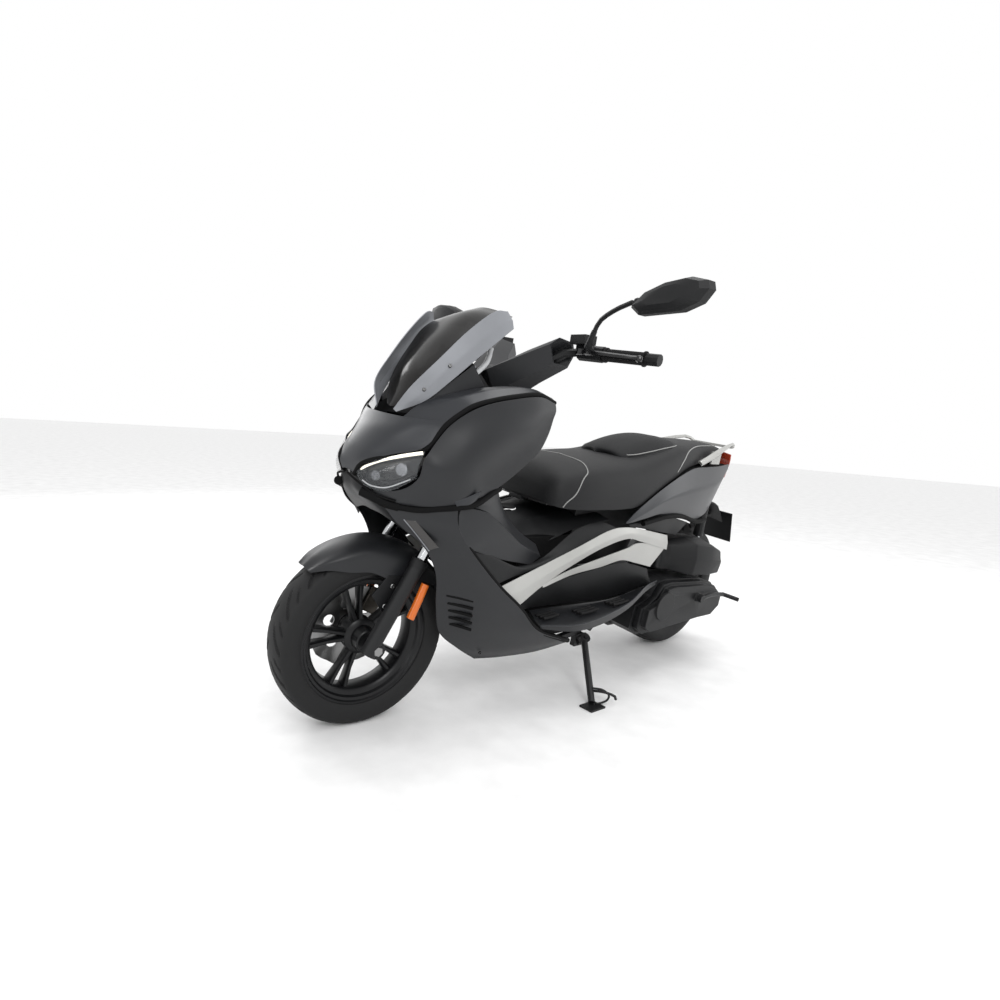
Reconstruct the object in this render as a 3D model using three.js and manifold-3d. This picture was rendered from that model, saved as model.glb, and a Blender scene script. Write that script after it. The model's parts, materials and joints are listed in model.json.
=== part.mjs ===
// A maxi moped scooter standing on its side stand.
// Bike frame used while modelling: +X forward, +Y left, +Z up, millimetres,
// origin on the ground under the front axle with the machine upright.
// The whole machine then leans onto its stand and the origin moves to the
// bottom centre of its bounding box.
import * as THREE from "three";
import Module from "manifold-3d";
import { mergeVertices } from "three/addons/utils/BufferGeometryUtils.js";

const wasm = await Module();
wasm.setup();

// ---------------------------------------------------------------- driving dimensions
const WHEELBASE = 1471;
const LEAN_DEG = 6.5;
const STEER_DEG = -4.7;
const RAKE_DEG = 27;
const TRAIL = 92;
const FRONT_RADIUS = 250;
const REAR_RADIUS = 257;
const RIM_RADIUS = 184;
const FRONT_TYRE_WIDTH = 118;
const REAR_TYRE_WIDTH = 132;
const WHEEL_FACETS = 24;
const PANEL = 3;

const RAKE = THREE.MathUtils.degToRad(RAKE_DEG);
const STEER_AXIS = [-Math.sin(RAKE), 0, Math.cos(RAKE)];
const AXLE_FRONT = [0, 0, FRONT_RADIUS];
const AXLE_REAR = [-WHEELBASE, 0, REAR_RADIUS];
const SWING_PIVOT = [-905, 0, 238];
const SEAT_HINGE = [-508, 0, 628];
const STAND_PIVOT = [-796, 148, 176];
const STAND_FOOT = [-690, 300, 34];
const KICK_PIVOT = [-1292, 246, 300];
const SHOCK_TOP = [-1462, 90, 648];
const SHOCK_FOOT = [-1486, 84, 330];
const FLAP_HINGE = [-442, 0, 602];
const FLAP_CENTRE = -478;
const FLAP_RADIUS = 29;

/** A point of the steering axis at height z, moved forward (square to the axis) by `ahead`. */
function onSteering(z, ahead = 0, y = 0) {
  const x = TRAIL - z * Math.tan(RAKE);
  return [x + ahead * Math.cos(RAKE), y, z + ahead * Math.sin(RAKE)];
}

// ---------------------------------------------------------------- geometry helpers
function indexed(geometry) {
  const plain = geometry.clone();
  plain.deleteAttribute("normal");
  plain.deleteAttribute("uv");
  return mergeVertices(plain, 1e-3);
}

function toSolid(geometry) {
  const g = indexed(geometry);
  const vertProperties = new Float32Array(g.attributes.position.array);
  const triVerts = new Uint32Array(g.index.array);
  return new wasm.Manifold(new wasm.Mesh({ numProp: 3, vertProperties, triVerts }));
}

function fromSolid(solid) {
  const m = solid.getMesh();
  const g = new THREE.BufferGeometry();
  g.setAttribute("position", new THREE.BufferAttribute(new Float32Array(m.vertProperties), 3));
  g.setIndex(new THREE.BufferAttribute(new Uint32Array(m.triVerts), 1));
  return g;
}

function join(...parts) {
  return fromSolid(parts.map(toSolid).reduce((a, b) => a.add(b)));
}

function cut(base, ...tools) {
  return fromSolid(tools.map(toSolid).reduce((a, b) => a.subtract(b), toSolid(base)));
}

/** The same shape on the other side of the machine. */
function mirrored(geometry) {
  const g = indexed(geometry);
  g.scale(1, -1, 1);
  const index = g.index.array;
  for (let i = 0; i < index.length; i += 3) {
    [index[i], index[i + 1]] = [index[i + 1], index[i]];
  }
  return g;
}

function bothSides(geometry) {
  return join(geometry, mirrored(geometry));
}

function box([x, y, z], [sx, sy, sz]) {
  return new THREE.BoxGeometry(sx, sy, sz).translate(x, y, z);
}

/** A straight round bar between two points. */
function rod(a, b, radius, sides = 10, endRadius = radius) {
  const from = new THREE.Vector3(...a);
  const to = new THREE.Vector3(...b);
  const along = to.clone().sub(from);
  const g = new THREE.CylinderGeometry(endRadius, radius, along.length(), sides);
  g.applyQuaternion(new THREE.Quaternion().setFromUnitVectors(
    new THREE.Vector3(0, 1, 0), along.clone().normalize()));
  return g.translate(...from.add(to).multiplyScalar(0.5).toArray());
}

/** A straight tube with an open bore. */
function pipe(a, b, radius, bore, sides = 12) {
  const dir = new THREE.Vector3(...b).sub(new THREE.Vector3(...a)).normalize();
  const start = new THREE.Vector3(...a).addScaledVector(dir, -2).toArray();
  const end = new THREE.Vector3(...b).addScaledVector(dir, 2).toArray();
  return cut(rod(a, b, radius, sides), rod(start, end, bore, sides));
}

/** A bent round bar through the given points. */
function bentRod(points, radius, steps, sides = 8) {
  const path = new THREE.CatmullRomCurve3(
    points.map((p) => new THREE.Vector3(...p)), false, "centripetal");
  const section = new THREE.Shape();
  for (let i = 0; i < sides; i += 1) {
    const t = (i / sides) * Math.PI * 2;
    const place = [radius * Math.cos(t), radius * Math.sin(t)];
    if (i === 0) {
      section.moveTo(...place);
    } else {
      section.lineTo(...place);
    }
  }
  section.closePath();
  return new THREE.ExtrudeGeometry(section, { extrudePath: path, steps, bevelEnabled: false });
}

/** A plate with the outline (x, z), filling y from `y0` to `y1`. */
function sidePlate(outline, y0, y1) {
  const shape = new THREE.Shape(outline.map((p) => new THREE.Vector2(...p)));
  const g = new THREE.ExtrudeGeometry(shape, { depth: y1 - y0, bevelEnabled: false });
  return g.rotateX(Math.PI / 2).translate(0, y1, 0);
}

/** A turned ring or drum around the lateral axis, from a closed (radius, y) profile. */
function turned(profile, centre, segments) {
  const points = profile.map((p) => new THREE.Vector2(...p));
  if (profile[0][0] > 0) {
    points.push(points[0].clone());
  }
  const g = new THREE.LatheGeometry(points, segments);
  return outward(indexed(g)).translate(...centre);
}

/** Turns a closed geometry's faces outwards. */
function outward(geometry) {
  const p = geometry.attributes.position;
  const index = geometry.index.array;
  const a = new THREE.Vector3();
  const b = new THREE.Vector3();
  const c = new THREE.Vector3();
  let volume = 0;
  for (let i = 0; i < index.length; i += 3) {
    a.fromBufferAttribute(p, index[i]);
    b.fromBufferAttribute(p, index[i + 1]);
    c.fromBufferAttribute(p, index[i + 2]);
    volume += a.dot(b.cross(c));
  }
  if (volume < 0) {
    for (let i = 0; i < index.length; i += 3) {
      [index[i], index[i + 1]] = [index[i + 1], index[i]];
    }
  }
  return geometry;
}

function smoothRow(points, count) {
  const curve = new THREE.CatmullRomCurve3(
    points.map((p) => new THREE.Vector3(...p)), false, "catmullrom", 0.5);
  return Array.from({ length: count + 1 }, (_, i) => curve.getPoint(i / count));
}

/** Rows of hand-placed points, smoothed both ways into a grid of vectors. */
function smoothGrid(rows, across, along) {
  const fine = rows.map((row) => smoothRow(row, across));
  const columns = fine[0].map((_, j) => smoothRow(fine.map((row) => row[j].toArray()), along));
  return Array.from({ length: along + 1 }, (_, i) => columns.map((column) => column[i]));
}

/** A thin curved shell: `rows` lie on its outer face, which looks away from `inside`. */
function shell(rows, inside, { across = 4, along = 8, thickness = PANEL, sink = 0 } = {}) {
  const grid = smoothGrid(rows, across, along);
  const centre = new THREE.Vector3();
  grid.flat().forEach((p) => centre.add(p));
  centre.divideScalar(grid.flat().length);
  const away = centre.clone().sub(new THREE.Vector3(...inside));
  const normals = grid.map((row, i) => row.map((p, j) => {
    const du = grid[Math.min(i + 1, along)][j].clone().sub(grid[Math.max(i - 1, 0)][j]);
    const dv = row[Math.min(j + 1, across)].clone().sub(row[Math.max(j - 1, 0)]);
    return du.cross(dv).normalize();
  }));
  const mean = new THREE.Vector3();
  normals.flat().forEach((n) => mean.add(n));
  const side = mean.dot(away) > 0 ? 1 : -1;
  const positions = [];
  [sink, sink + thickness].forEach((depth) => {
    grid.forEach((row, i) => row.forEach((p, j) => {
      positions.push(...p.clone().addScaledVector(normals[i][j], -side * depth).toArray());
    }));
  });
  const width = across + 1;
  const layer = width * (along + 1);
  const index = [];
  const quad = (a, b, c, d) => index.push(a, b, c, a, c, d);
  for (let i = 0; i < along; i += 1) {
    for (let j = 0; j < across; j += 1) {
      const k = i * width + j;
      quad(k, k + width, k + width + 1, k + 1);
      quad(layer + k, layer + k + 1, layer + k + width + 1, layer + k + width);
    }
  }
  for (let i = 0; i < along; i += 1) {
    const low = i * width;
    const high = low + across;
    quad(low, low + layer, low + layer + width, low + width);
    quad(high, high + width, high + layer + width, high + layer);
  }
  for (let j = 0; j < across; j += 1) {
    const last = along * width + j;
    quad(j, j + 1, j + 1 + layer, j + layer);
    quad(last, last + layer, last + layer + 1, last + 1);
  }
  const g = new THREE.BufferGeometry();
  g.setAttribute("position", new THREE.Float32BufferAttribute(positions, 3));
  g.setIndex(index);
  return outward(g);
}

/** A closed body lofted through rings, each ring a list of points in the same order. */
function loft(rings) {
  const size = rings[0].length;
  const positions = rings.flat(2);
  const index = [];
  for (let i = 0; i + 1 < rings.length; i += 1) {
    for (let j = 0; j < size; j += 1) {
      const a = i * size + j;
      const b = i * size + ((j + 1) % size);
      index.push(a, b, b + size, a, b + size, a + size);
    }
  }
  const last = (rings.length - 1) * size;
  for (let j = 1; j + 1 < size; j += 1) {
    index.push(0, j + 1, j);
    index.push(last, last + j, last + j + 1);
  }
  const g = new THREE.BufferGeometry();
  g.setAttribute("position", new THREE.Float32BufferAttribute(positions, 3));
  g.setIndex(index);
  return outward(g);
}

// ---------------------------------------------------------------- scene helpers
const paint = (color, roughness, metalness = 0) =>
  new THREE.MeshStandardMaterial({ color, roughness, metalness });

const CHARCOAL = ["#2b2e31", 0.55];
const GUNMETAL = ["#55585e", 0.45, 0.4];
const SILVER = ["#b9b9b4", 0.4, 0.6];
const BLACK = ["#15171a", 0.65];
const ENGINE = ["#1c1e20", 0.55, 0.3];
const STEEL = ["#9a9da1", 0.35, 0.9];
const RUBBER = ["#0f1011", 0.85];

function add(group, name, geometry, look) {
  const mesh = new THREE.Mesh(geometry, paint(...look));
  mesh.name = name;
  group.add(mesh);
}

/** Adds a mirrored pair: NAME_left and NAME_right. */
function addPair(group, name, geometry, look) {
  add(group, `${name}_left`, geometry, look);
  add(group, `${name}_right`, mirrored(geometry), look);
}

/** A group for a moving body. It keeps its hinge or slide and its angle at rest. */
function body(parent, name, pivot, axis, restDeg = 0) {
  const group = new THREE.Group();
  const turn = new THREE.Quaternion().setFromAxisAngle(
    new THREE.Vector3(...axis).normalize(), THREE.MathUtils.degToRad(restDeg));
  const pin = new THREE.Vector3(...pivot);
  group.quaternion.copy(turn);
  group.position.copy(pin.clone().sub(pin.clone().applyQuaternion(turn)));
  group.userData = { joint: name, pivot, axis };
  parent.add(group);
  return group;
}

const bike = new THREE.Group();
const steering = body(bike, "steering", onSteering(700), STEER_AXIS, STEER_DEG);
const fork = body(steering, "fork_slide", AXLE_FRONT, STEER_AXIS);
const frontWheel = body(fork, "front_wheel_spin", AXLE_FRONT, [0, 1, 0]);
const swing = body(bike, "swing_unit_hinge", SWING_PIVOT, [0, 1, 0]);
const rearWheel = body(swing, "rear_wheel_spin", AXLE_REAR, [0, 1, 0]);

// ---------------------------------------------------------------- wheels
function tyreProfile(radius, width) {
  const half = width / 2;
  const bead = RIM_RADIUS - 10;
  const depth = radius - RIM_RADIUS;
  const outer = [[bead, 42.1], [RIM_RADIUS + 0.7, 43], [RIM_RADIUS + 1.6, 0.86 * half],
    [RIM_RADIUS + 0.36 * depth, 0.98 * half], [radius - 0.22 * depth, 0.9 * half],
    [radius - 0.05 * depth, 0.52 * half], [radius, 0]];
  const inner = [[radius - 11, 0], [radius - 24, 0.8 * half], [bead, 31]];
  const mirror = (list) => list.map(([r, y]) => [r, -y]).reverse();
  return [...outer, ...mirror(outer).slice(1), ...mirror(inner), ...inner.slice(1)];
}

/** Cast rim: barrel, hub and five pairs of thin spokes. */
function rim(centre, spokeHalf, hubHalf, bore) {
  const pairs = 5;
  const firstPair = 0.07;
  const spread = 0.18;
  const seat = RIM_RADIUS - 10.6;
  const barrel = turned([[RIM_RADIUS, 47.5], [RIM_RADIUS, 43.6], [seat, 42.6],
    [158, 24], [158, -24], [seat, -42.6], [RIM_RADIUS, -43.6], [RIM_RADIUS, -47.5],
    [172, -47.5], [151, -26], [151, 26], [172, 47.5]], centre, WHEEL_FACETS);
  const hub = turned([[bore, hubHalf], [bore, -hubHalf], [34, -hubHalf], [46, -spokeHalf],
    [46, spokeHalf], [34, hubHalf]], centre, 16);
  const spokes = [];
  for (let pair = 0; pair < pairs; pair += 1) {
    [-1, 1].forEach((side) => {
      const t = firstPair + (pair / pairs) * Math.PI * 2 + side * spread;
      const root = pairPoint(centre, 38, t - side * 0.12);
      const tip = pairPoint(centre, 155, t);
      spokes.push(rod([root[0], centre[1], root[2]], [tip[0], centre[1], tip[2]], 11, 6, 7));
    });
  }
  return join(barrel, hub, ...spokes);
}

function pairPoint(centre, radius, angle) {
  return [centre[0] + radius * Math.cos(angle), centre[1], centre[2] + radius * Math.sin(angle)];
}

add(frontWheel, "front_tyre",
  turned(tyreProfile(FRONT_RADIUS, FRONT_TYRE_WIDTH), AXLE_FRONT, WHEEL_FACETS), RUBBER);
add(frontWheel, "front_rim", rim(AXLE_FRONT, 20, 60, 9.5), ["#1a1b1d", 0.4, 0.5]);

function brakeDisc(y) {
  const outline = new THREE.Shape();
  const lobes = 36;
  for (let i = 0; i <= lobes; i += 1) {
    const t = (i / lobes) * Math.PI * 2;
    const r = 119 + 3 * Math.cos(t * 9);
    const place = [r * Math.cos(t), r * Math.sin(t)];
    if (i === 0) {
      outline.moveTo(...place);
    } else {
      outline.lineTo(...place);
    }
  }
  const bore = new THREE.Path();
  bore.absarc(0, 0, 36, 0, Math.PI * 2, true);
  outline.holes.push(bore);
  for (let i = 0; i < 6; i += 1) {
    const t = (i / 6) * Math.PI * 2 + 0.3;
    const window = new THREE.Path();
    window.absarc(66 * Math.cos(t), 66 * Math.sin(t), 17, 0, Math.PI * 2, true);
    outline.holes.push(window);
  }
  const g = new THREE.ExtrudeGeometry(outline, { depth: 4, bevelEnabled: false, curveSegments: 5 });
  return g.rotateX(Math.PI / 2).translate(AXLE_FRONT[0], y, AXLE_FRONT[2]);
}
add(frontWheel, "front_disc", brakeDisc(-60.5), STEEL);

add(rearWheel, "rear_tyre",
  turned(tyreProfile(REAR_RADIUS, REAR_TYRE_WIDTH), AXLE_REAR, WHEEL_FACETS), RUBBER);
add(rearWheel, "rear_rim", rim(AXLE_REAR, 22, 52, 11), ["#1a1b1d", 0.4, 0.5]);

// ---------------------------------------------------------------- fork and steering
const LEG_Y = 100;
const LEG_AHEAD = 41;

function forkLeg() {
  const foot = onSteering(222, LEG_AHEAD + 4, LEG_Y);
  const top = onSteering(462, LEG_AHEAD, LEG_Y);
  const boreStart = onSteering(286, LEG_AHEAD, LEG_Y);
  const lug = rod([AXLE_FRONT[0], LEG_Y - 14, AXLE_FRONT[2]],
    [AXLE_FRONT[0], LEG_Y + 13, AXLE_FRONT[2]], 24, 12);
  const collar = rod(onSteering(440, LEG_AHEAD, LEG_Y), top, 23.4, 12);
  const leg = join(rod(foot, top, 20.8, 12), collar, lug);
  return cut(leg, rod(boreStart, onSteering(480, LEG_AHEAD, LEG_Y), 16.6, 12));
}

const axle = rod([0, -LEG_Y - 18, FRONT_RADIUS], [0, LEG_Y + 18, FRONT_RADIUS], 8.5, 10);
add(fork, "fork_lowers", join(bothSides(forkLeg()), axle), BLACK);

/** The fender: an arc over the tyre with sides that drop towards its rear edge. */
function fenderGeometry() {
  const rows = [];
  const stations = [
    // angle from straight up (forward positive), radius of crown, half width, side drop
    [41, 272, 38, 10], [32, 276, 58, 32], [20, 278, 72, 62], [6, 280, 76, 78],
    [-8, 281, 76, 96], [-22, 281, 74, 92], [-36, 280, 68, 70], [-52, 278, 60, 40],
  ];
  stations.forEach(([deg, r, half, drop]) => {
    const t = THREE.MathUtils.degToRad(deg);
    const place = (radius, y) => [radius * Math.sin(t), y, FRONT_RADIUS + radius * Math.cos(t)];
    rows.push([place(r - drop, -half), place(r - 0.35 * drop, -half * 0.97), place(r - 6, -half * 0.6),
      place(r, 0), place(r - 6, half * 0.6), place(r - 0.35 * drop, half * 0.97), place(r - drop, half)]);
  });
  return shell(rows, AXLE_FRONT, { across: 8, along: 11, thickness: 3 });
}
const fenderTab = sidePlate([[-84, 352], [-30, 330], [12, 388], [-30, 440], [-78, 436]], 71.5, 77);
const farTab = sidePlate([[-56, 392], [0, 392], [12, 400], [-30, 440], [-78, 436]], -77, -71.5);
add(fork, "front_fender", join(fenderGeometry(), fenderTab, farTab), CHARCOAL);

function caliper() {
  const centre = [-66, -65, 318];
  const block = box(centre, [50, 30, 72]);
  block.translate(-centre[0], 0, -centre[2]).rotateY(-RAKE).translate(centre[0], 0, centre[2]);
  const slot = turned([[24, -67.5], [24, -57.5], [132, -57.5], [132, -67.5]], AXLE_FRONT, 24);
  return cut(block, slot,
    rod(onSteering(200, LEG_AHEAD, -LEG_Y), onSteering(500, LEG_AHEAD, -LEG_Y), 21.4, 12));
}
add(fork, "front_caliper", caliper(), ["#6b6256", 0.5, 0.6]);

function steeringStem() {
  const yokeZ = 566;
  const centre = onSteering(yokeZ);
  const yoke = new THREE.BoxGeometry(96, 236, 26).rotateY(-RAKE)
    .translate(centre[0] + 18, 0, centre[2] + 9);
  const stem = rod(onSteering(560), onSteering(896), 15, 10);
  const leg = rod(onSteering(350, LEG_AHEAD, LEG_Y), onSteering(585, LEG_AHEAD, LEG_Y), 16, 10);
  return join(yoke, stem, leg, mirrored(leg));
}
add(steering, "steering_stem", steeringStem(), STEEL);

const GRIP_INNER = [-526, 209, 1064];
const GRIP_OUTER = [-548, 331, 1057];
const BAR_END = [-555, 372, 1054];

/** Puts a point on the grip's line: 0 at its inner end, 1 at its outer end. */
function alongGrip(t, dx = 0, dz = 0) {
  return GRIP_INNER.map((v, i) => v + t * (GRIP_OUTER[i] - v) + [dx, 0, dz][i]);
}

const BAR_INNER = alongGrip(-0.56);
const barHalf = [[-384, -8, 946], [-386, 30, 952], [-426, 80, 1012], [-472, 116, 1058], BAR_INNER];
const barTube = bentRod(barHalf, 11, 6, 6);
const barTip = rod(BAR_INNER, alongGrip(1.26), 11, 6);
const barClamp = rod(onSteering(897), onSteering(935), 21, 10);
const barWeight = rod(alongGrip(1.05), alongGrip(1.32), 15, 10);
add(steering, "handlebar", join(barTube, mirrored(barTube), barTip, mirrored(barTip),
  barWeight, mirrored(barWeight), barClamp), BLACK);

/** One arm of the handlebar cover, an angular sleeve around the bar. */
function coverArm() {
  const ring = ([x, y, z], wide, high) => [[x + wide, y, z + high * 0.45],
    [x + wide * 0.35, y, z + high],
    [x - wide * 0.75, y, z + high * 0.8], [x - wide, y, z], [x - wide * 0.6, y, z - high],
    [x + wide * 0.55, y, z - high * 0.9]];
  const outer = [ring([-366, 0, 966], 80, 40), ring([-366, 40, 976], 80, 42),
    ring([-412, 80, 1018], 58, 42), ring([-472, 122, 1062], 48, 38)];
  const inner = [ring([-366, -1, 966], 73, 34), ring([-366, 40, 976], 73, 36),
    ring([-412, 80, 1018], 51, 36), ring([-472, 123, 1062], 41, 32)];
  return [loft(outer), loft(inner)];
}
const [armOuter, armInner] = coverArm();
const coverSkin = cut(join(armOuter, mirrored(armOuter)), armInner, mirrored(armInner));
add(steering, "handlebar_cover", cut(coverSkin, rod(onSteering(800), onSteering(960), 26, 10)), CHARCOAL);

/** Switch box with the master cylinder and the mirror stem that screws into it. */
function switchBox() {
  const block = rod(alongGrip(-0.5), alongGrip(0.08), 21, 8);
  const reservoir = box([-496, 168, 1098], [44, 52, 24]);
  const neck = box([-500, 168, 1084], [22, 30, 20]);
  const perch = rod([-484, 196, 1064], [-520, 196, 1066], 8, 6);
  return cut(join(block, reservoir, neck, perch, mirrorStem()),
    rod(alongGrip(-0.8), alongGrip(0.5), 12.8, 8));
}
addPair(steering, "switch_box", switchBox(), BLACK);

function gripGeometry() {
  return pipe(alongGrip(0.11), alongGrip(1.02), 16.5, 12, 10);
}
add(steering, "grip_left", gripGeometry(), RUBBER);
const throttle = body(steering, "throttle_twist", mirrorPoint(GRIP_INNER),
  mirrorPoint([GRIP_OUTER[0] - GRIP_INNER[0], GRIP_OUTER[1] - GRIP_INNER[1],
    GRIP_OUTER[2] - GRIP_INNER[2]]));
add(throttle, "throttle_grip", mirrored(gripGeometry()), RUBBER);
function mirrorPoint([x, y, z]) {
  return [x, -y, z];
}

/** Brake lever: pivots at its inner end and reaches along the grip, ending in a ball. */
function leverGeometry() {
  const pivot = leverPivot();
  const blade = bentRod([[pivot[0] - 2, pivot[1] + 16, pivot[2] - 2], [-462, 250, 1060],
    [-478, 300, 1056], [-492, 352, 1052]], 6.5, 7, 6);
  const hub = rod([pivot[0], pivot[1], pivot[2] - 7], [pivot[0], pivot[1], pivot[2] + 7], 11, 8);
  const neck = box([pivot[0] - 1, pivot[1] + 12, pivot[2]], [13, 22, 9]);
  const ball = new THREE.SphereGeometry(9, 8, 6).translate(-493, 358, 1051.5);
  return join(blade, hub, neck, ball);
}

function leverPivot() {
  return [-464, 196, 1064];
}
const leverLeft = body(steering, "brake_lever_left_pull", leverPivot(), [0, 0, 1]);
add(leverLeft, "brake_lever_left", leverGeometry(), BLACK);
const leverRight = body(steering, "brake_lever_right_pull", mirrorPoint(leverPivot()), [0, 0, -1]);
add(leverRight, "brake_lever_right", mirrored(leverGeometry()), BLACK);

/** Mirror stem with its rubber boot, rising from the switch box. */
function mirrorStem() {
  const boot = rod([-470, 212, 1074], [-464, 232, 1116], 10, 8, 7);
  const foot = rod([-500, 204, 1066], [-470, 214, 1080], 8, 6);
  const stem = bentRod([[-465, 229, 1110], [-461, 246, 1138], [-458, 290, 1162], [-457, 341, 1178]], 6, 7, 6);
  return join(boot, foot, stem);
}
const MIRROR_BALL = [-458, 352, 1180];

/** Mirror housing: a faceted shell with its glass set into the rear face. */
function mirrorHead() {
  const outline = [[338, 1166], [362, 1148], [470, 1152], [512, 1168], [530, 1194], [524, 1212],
    [486, 1222], [430, 1216], [372, 1196]];
  const ring = (x, scale) => outline.map(([y, z]) =>
    [x, 440 + (y - 440) * scale, 1184 + (z - 1184) * scale]);
  const shellBody = loft([ring(-434, 0.55), ring(-442, 0.86), ring(-458, 1), ring(-482, 1)]);
  const recess = loft([ring(-479, 0.93), ring(-486, 0.93)]);
  const socket = new THREE.SphereGeometry(8, 8, 6).translate(...MIRROR_BALL);
  return join(cut(shellBody, recess, rod([-457, 300, 1168], [-456, 343, 1178], 9, 8)), socket);
}
const mirrorLeft = body(steering, "mirror_left_tilt", MIRROR_BALL, [0, 0, 1]);
add(mirrorLeft, "mirror_left", mirrorHead(), BLACK);
const mirrorRight = body(steering, "mirror_right_tilt", mirrorPoint(MIRROR_BALL), [0, 0, -1]);
add(mirrorRight, "mirror_right", mirrored(mirrorHead()), BLACK);

// ---------------------------------------------------------------- frame
const STAND_AXIS = [0.169, 0.606, 0.777];

/** A point of the side stand's hinge pin, `t` millimetres from its middle. */
function onStandAxis(t) {
  return STAND_PIVOT.map((v, i) => v + t * STAND_AXIS[i]);
}

function frameGeometry() {
  const rail = bentRod([[-268, 24, 668], [-306, 62, 610], [-352, 96, 450], [-412, 118, 262],
    [-480, 124, 200], [-640, 130, 186], [-800, 118, 196], [-890, 128, 262], [-960, 148, 420],
    [-1080, 148, 556], [-1300, 122, 650], [-1500, 82, 716]], 13, 17, 6);
  const cross = ([x, y, z]) => rod([x, -y, z], [x, y, z], 11, 6);
  const headTube = rod(onSteering(618), onSteering(788), 29, 14);
  const gusset = box([-302, 0, 640], [70, 60, 40]);
  const standTab = box([-801, 117, 160], [40, 18, 44]);
  const standPin = rod(onStandAxis(-42), onStandAxis(14), 6, 8);
  const shockTab = sidePlate([[-1474, 636], [-1450, 636], [-1446, 706], [-1478, 706]], 64, 76);
  const hanger = join(sidePlate([[-842, 190], [-872, 280], [-925, 262], [-925, 214], [-880, 170]], 96, 108));
  return cut(join(rail, mirrored(rail), headTube, gusset, standTab,
    cross([-480, 124, 200]), cross([-858, 122, 226]), cross([-1262, 128, 638]),
    cross([-1500, 82, 716]), hanger, mirrored(hanger), shockTab, mirrored(shockTab), standPin),
  rod(onSteering(600), onSteering(800), 17, 14),
  rod([SWING_PIVOT[0], -140, SWING_PIVOT[2]], [SWING_PIVOT[0], 140, SWING_PIVOT[2]], 9, 12));
}
add(bike, "frame", frameGeometry(), BLACK);

// ---------------------------------------------------------------- bodywork
const CORE = [-260, 0, 640];

const noseRows = [
  [[93, -30, 706], [94, -12, 711], [94, 12, 711], [93, 30, 706]],
  [[90, -58, 736], [92, -22, 733], [92, 22, 733], [90, 58, 736]],
  [[45, -106, 768], [73, -42, 772], [73, 42, 772], [45, 106, 768]],
  [[-10, -158, 794], [40, -62, 814], [40, 62, 814], [-10, 158, 794]],
  [[-44, -182, 846], [14, -78, 842], [14, 78, 842], [-44, 182, 846]],
  [[-58, -188, 864], [0, -82, 858], [0, 82, 858], [-58, 188, 864]],
];
const noseArmRows = [
  [[-2, 66, 852], [-30, 130, 858], [-54, 187, 860]],
  [[-40, 92, 896], [-66, 150, 900], [-96, 199, 898]],
  [[-95, 124, 925], [-112, 168, 928], [-136, 204, 916]],
  [[-175, 142, 948], [-190, 176, 950], [-206, 206, 934]],
  [[-300, 152, 962], [-306, 180, 962], [-316, 199, 950]],
  [[-396, 160, 944], [-402, 172, 944], [-406, 184, 936]],
];
const noseArm = shell(noseArmRows, [-160, 120, 800], { across: 3, along: 9 });
add(bike, "nose_panel", join(shell(noseRows, CORE, { across: 6, along: 8 }), noseArm,
  mirrored(noseArm)), GUNMETAL);

const shoulderRows = [
  [[68, 76, 672], [42, 108, 655], [18, 134, 652]],
  [[26, 142, 690], [4, 160, 668], [-20, 170, 656]],
  [[4, 176, 724], [-30, 194, 700], [-66, 190, 660]],
  [[2, 187, 766], [-52, 210, 724], [-105, 205, 668]],
  [[-14, 182, 790], [-80, 226, 750], [-160, 207, 682]],
  [[-52, 188, 848], [-120, 233, 790], [-224, 190, 694]],
  [[-92, 202, 886], [-170, 236, 820], [-290, 182, 728]],
  [[-140, 209, 910], [-226, 234, 846], [-338, 182, 764]],
  [[-210, 212, 928], [-284, 228, 868], [-376, 186, 802]],
  [[-320, 205, 944], [-344, 214, 900], [-394, 190, 850]],
  [[-400, 190, 931], [-400, 196, 912], [-402, 190, 892]],
];
addPair(bike, "side_panel", shell(shoulderRows, [-180, 100, 780], { across: 4, along: 11 }), CHARCOAL);

const lampRows = [
  [[91, 44, 720], [92, 46, 708], [88, 50, 696]],
  [[70, 86, 750], [82, 84, 714], [74, 80, 680]],
  [[30, 134, 774], [54, 128, 730], [40, 124, 684]],
  [[-8, 174, 790], [8, 178, 756], [0, 168, 724]],
];
addPair(bike, "headlight_lens", shell(lampRows, [-60, 60, 730], { across: 4, along: 5, thickness: 2.5 }),
  ["#c9cdd0", 0.1]);
const lampBack = lampRows.map((row) => row.map(([x, y, z]) => [x - 26, y - 12, z]));
const lampBucket = shell(lampBack, [-120, 20, 730], { across: 4, along: 5, thickness: 12 });
const lampBridge = box([54, 0, 710], [16, 74, 12]);
add(bike, "headlight_housing", join(lampBucket, mirrored(lampBucket), lampBridge), ["#26282b", 0.3]);

/** A row given from the middle outwards, completed with its other half. */
const fullRow = (rows) => [...rows.map(([x, y, z]) => [x, -y, z]).reverse(), ...rows.slice(1)];

const underNoseRows = [
  fullRow([[84, 0, 700], [84, 36, 699], [66, 72, 669]]),
  fullRow([[80, 0, 670], [76, 40, 664], [40, 102, 640]]),
  fullRow([[44, 0, 634], [38, 48, 628], [8, 128, 606]]),
  fullRow([[8, 0, 604], [0, 52, 600], [-30, 138, 572]]),
];
add(bike, "under_nose", shell(underNoseRows, [-80, 0, 740], { across: 8, along: 5 }), BLACK);

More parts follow.
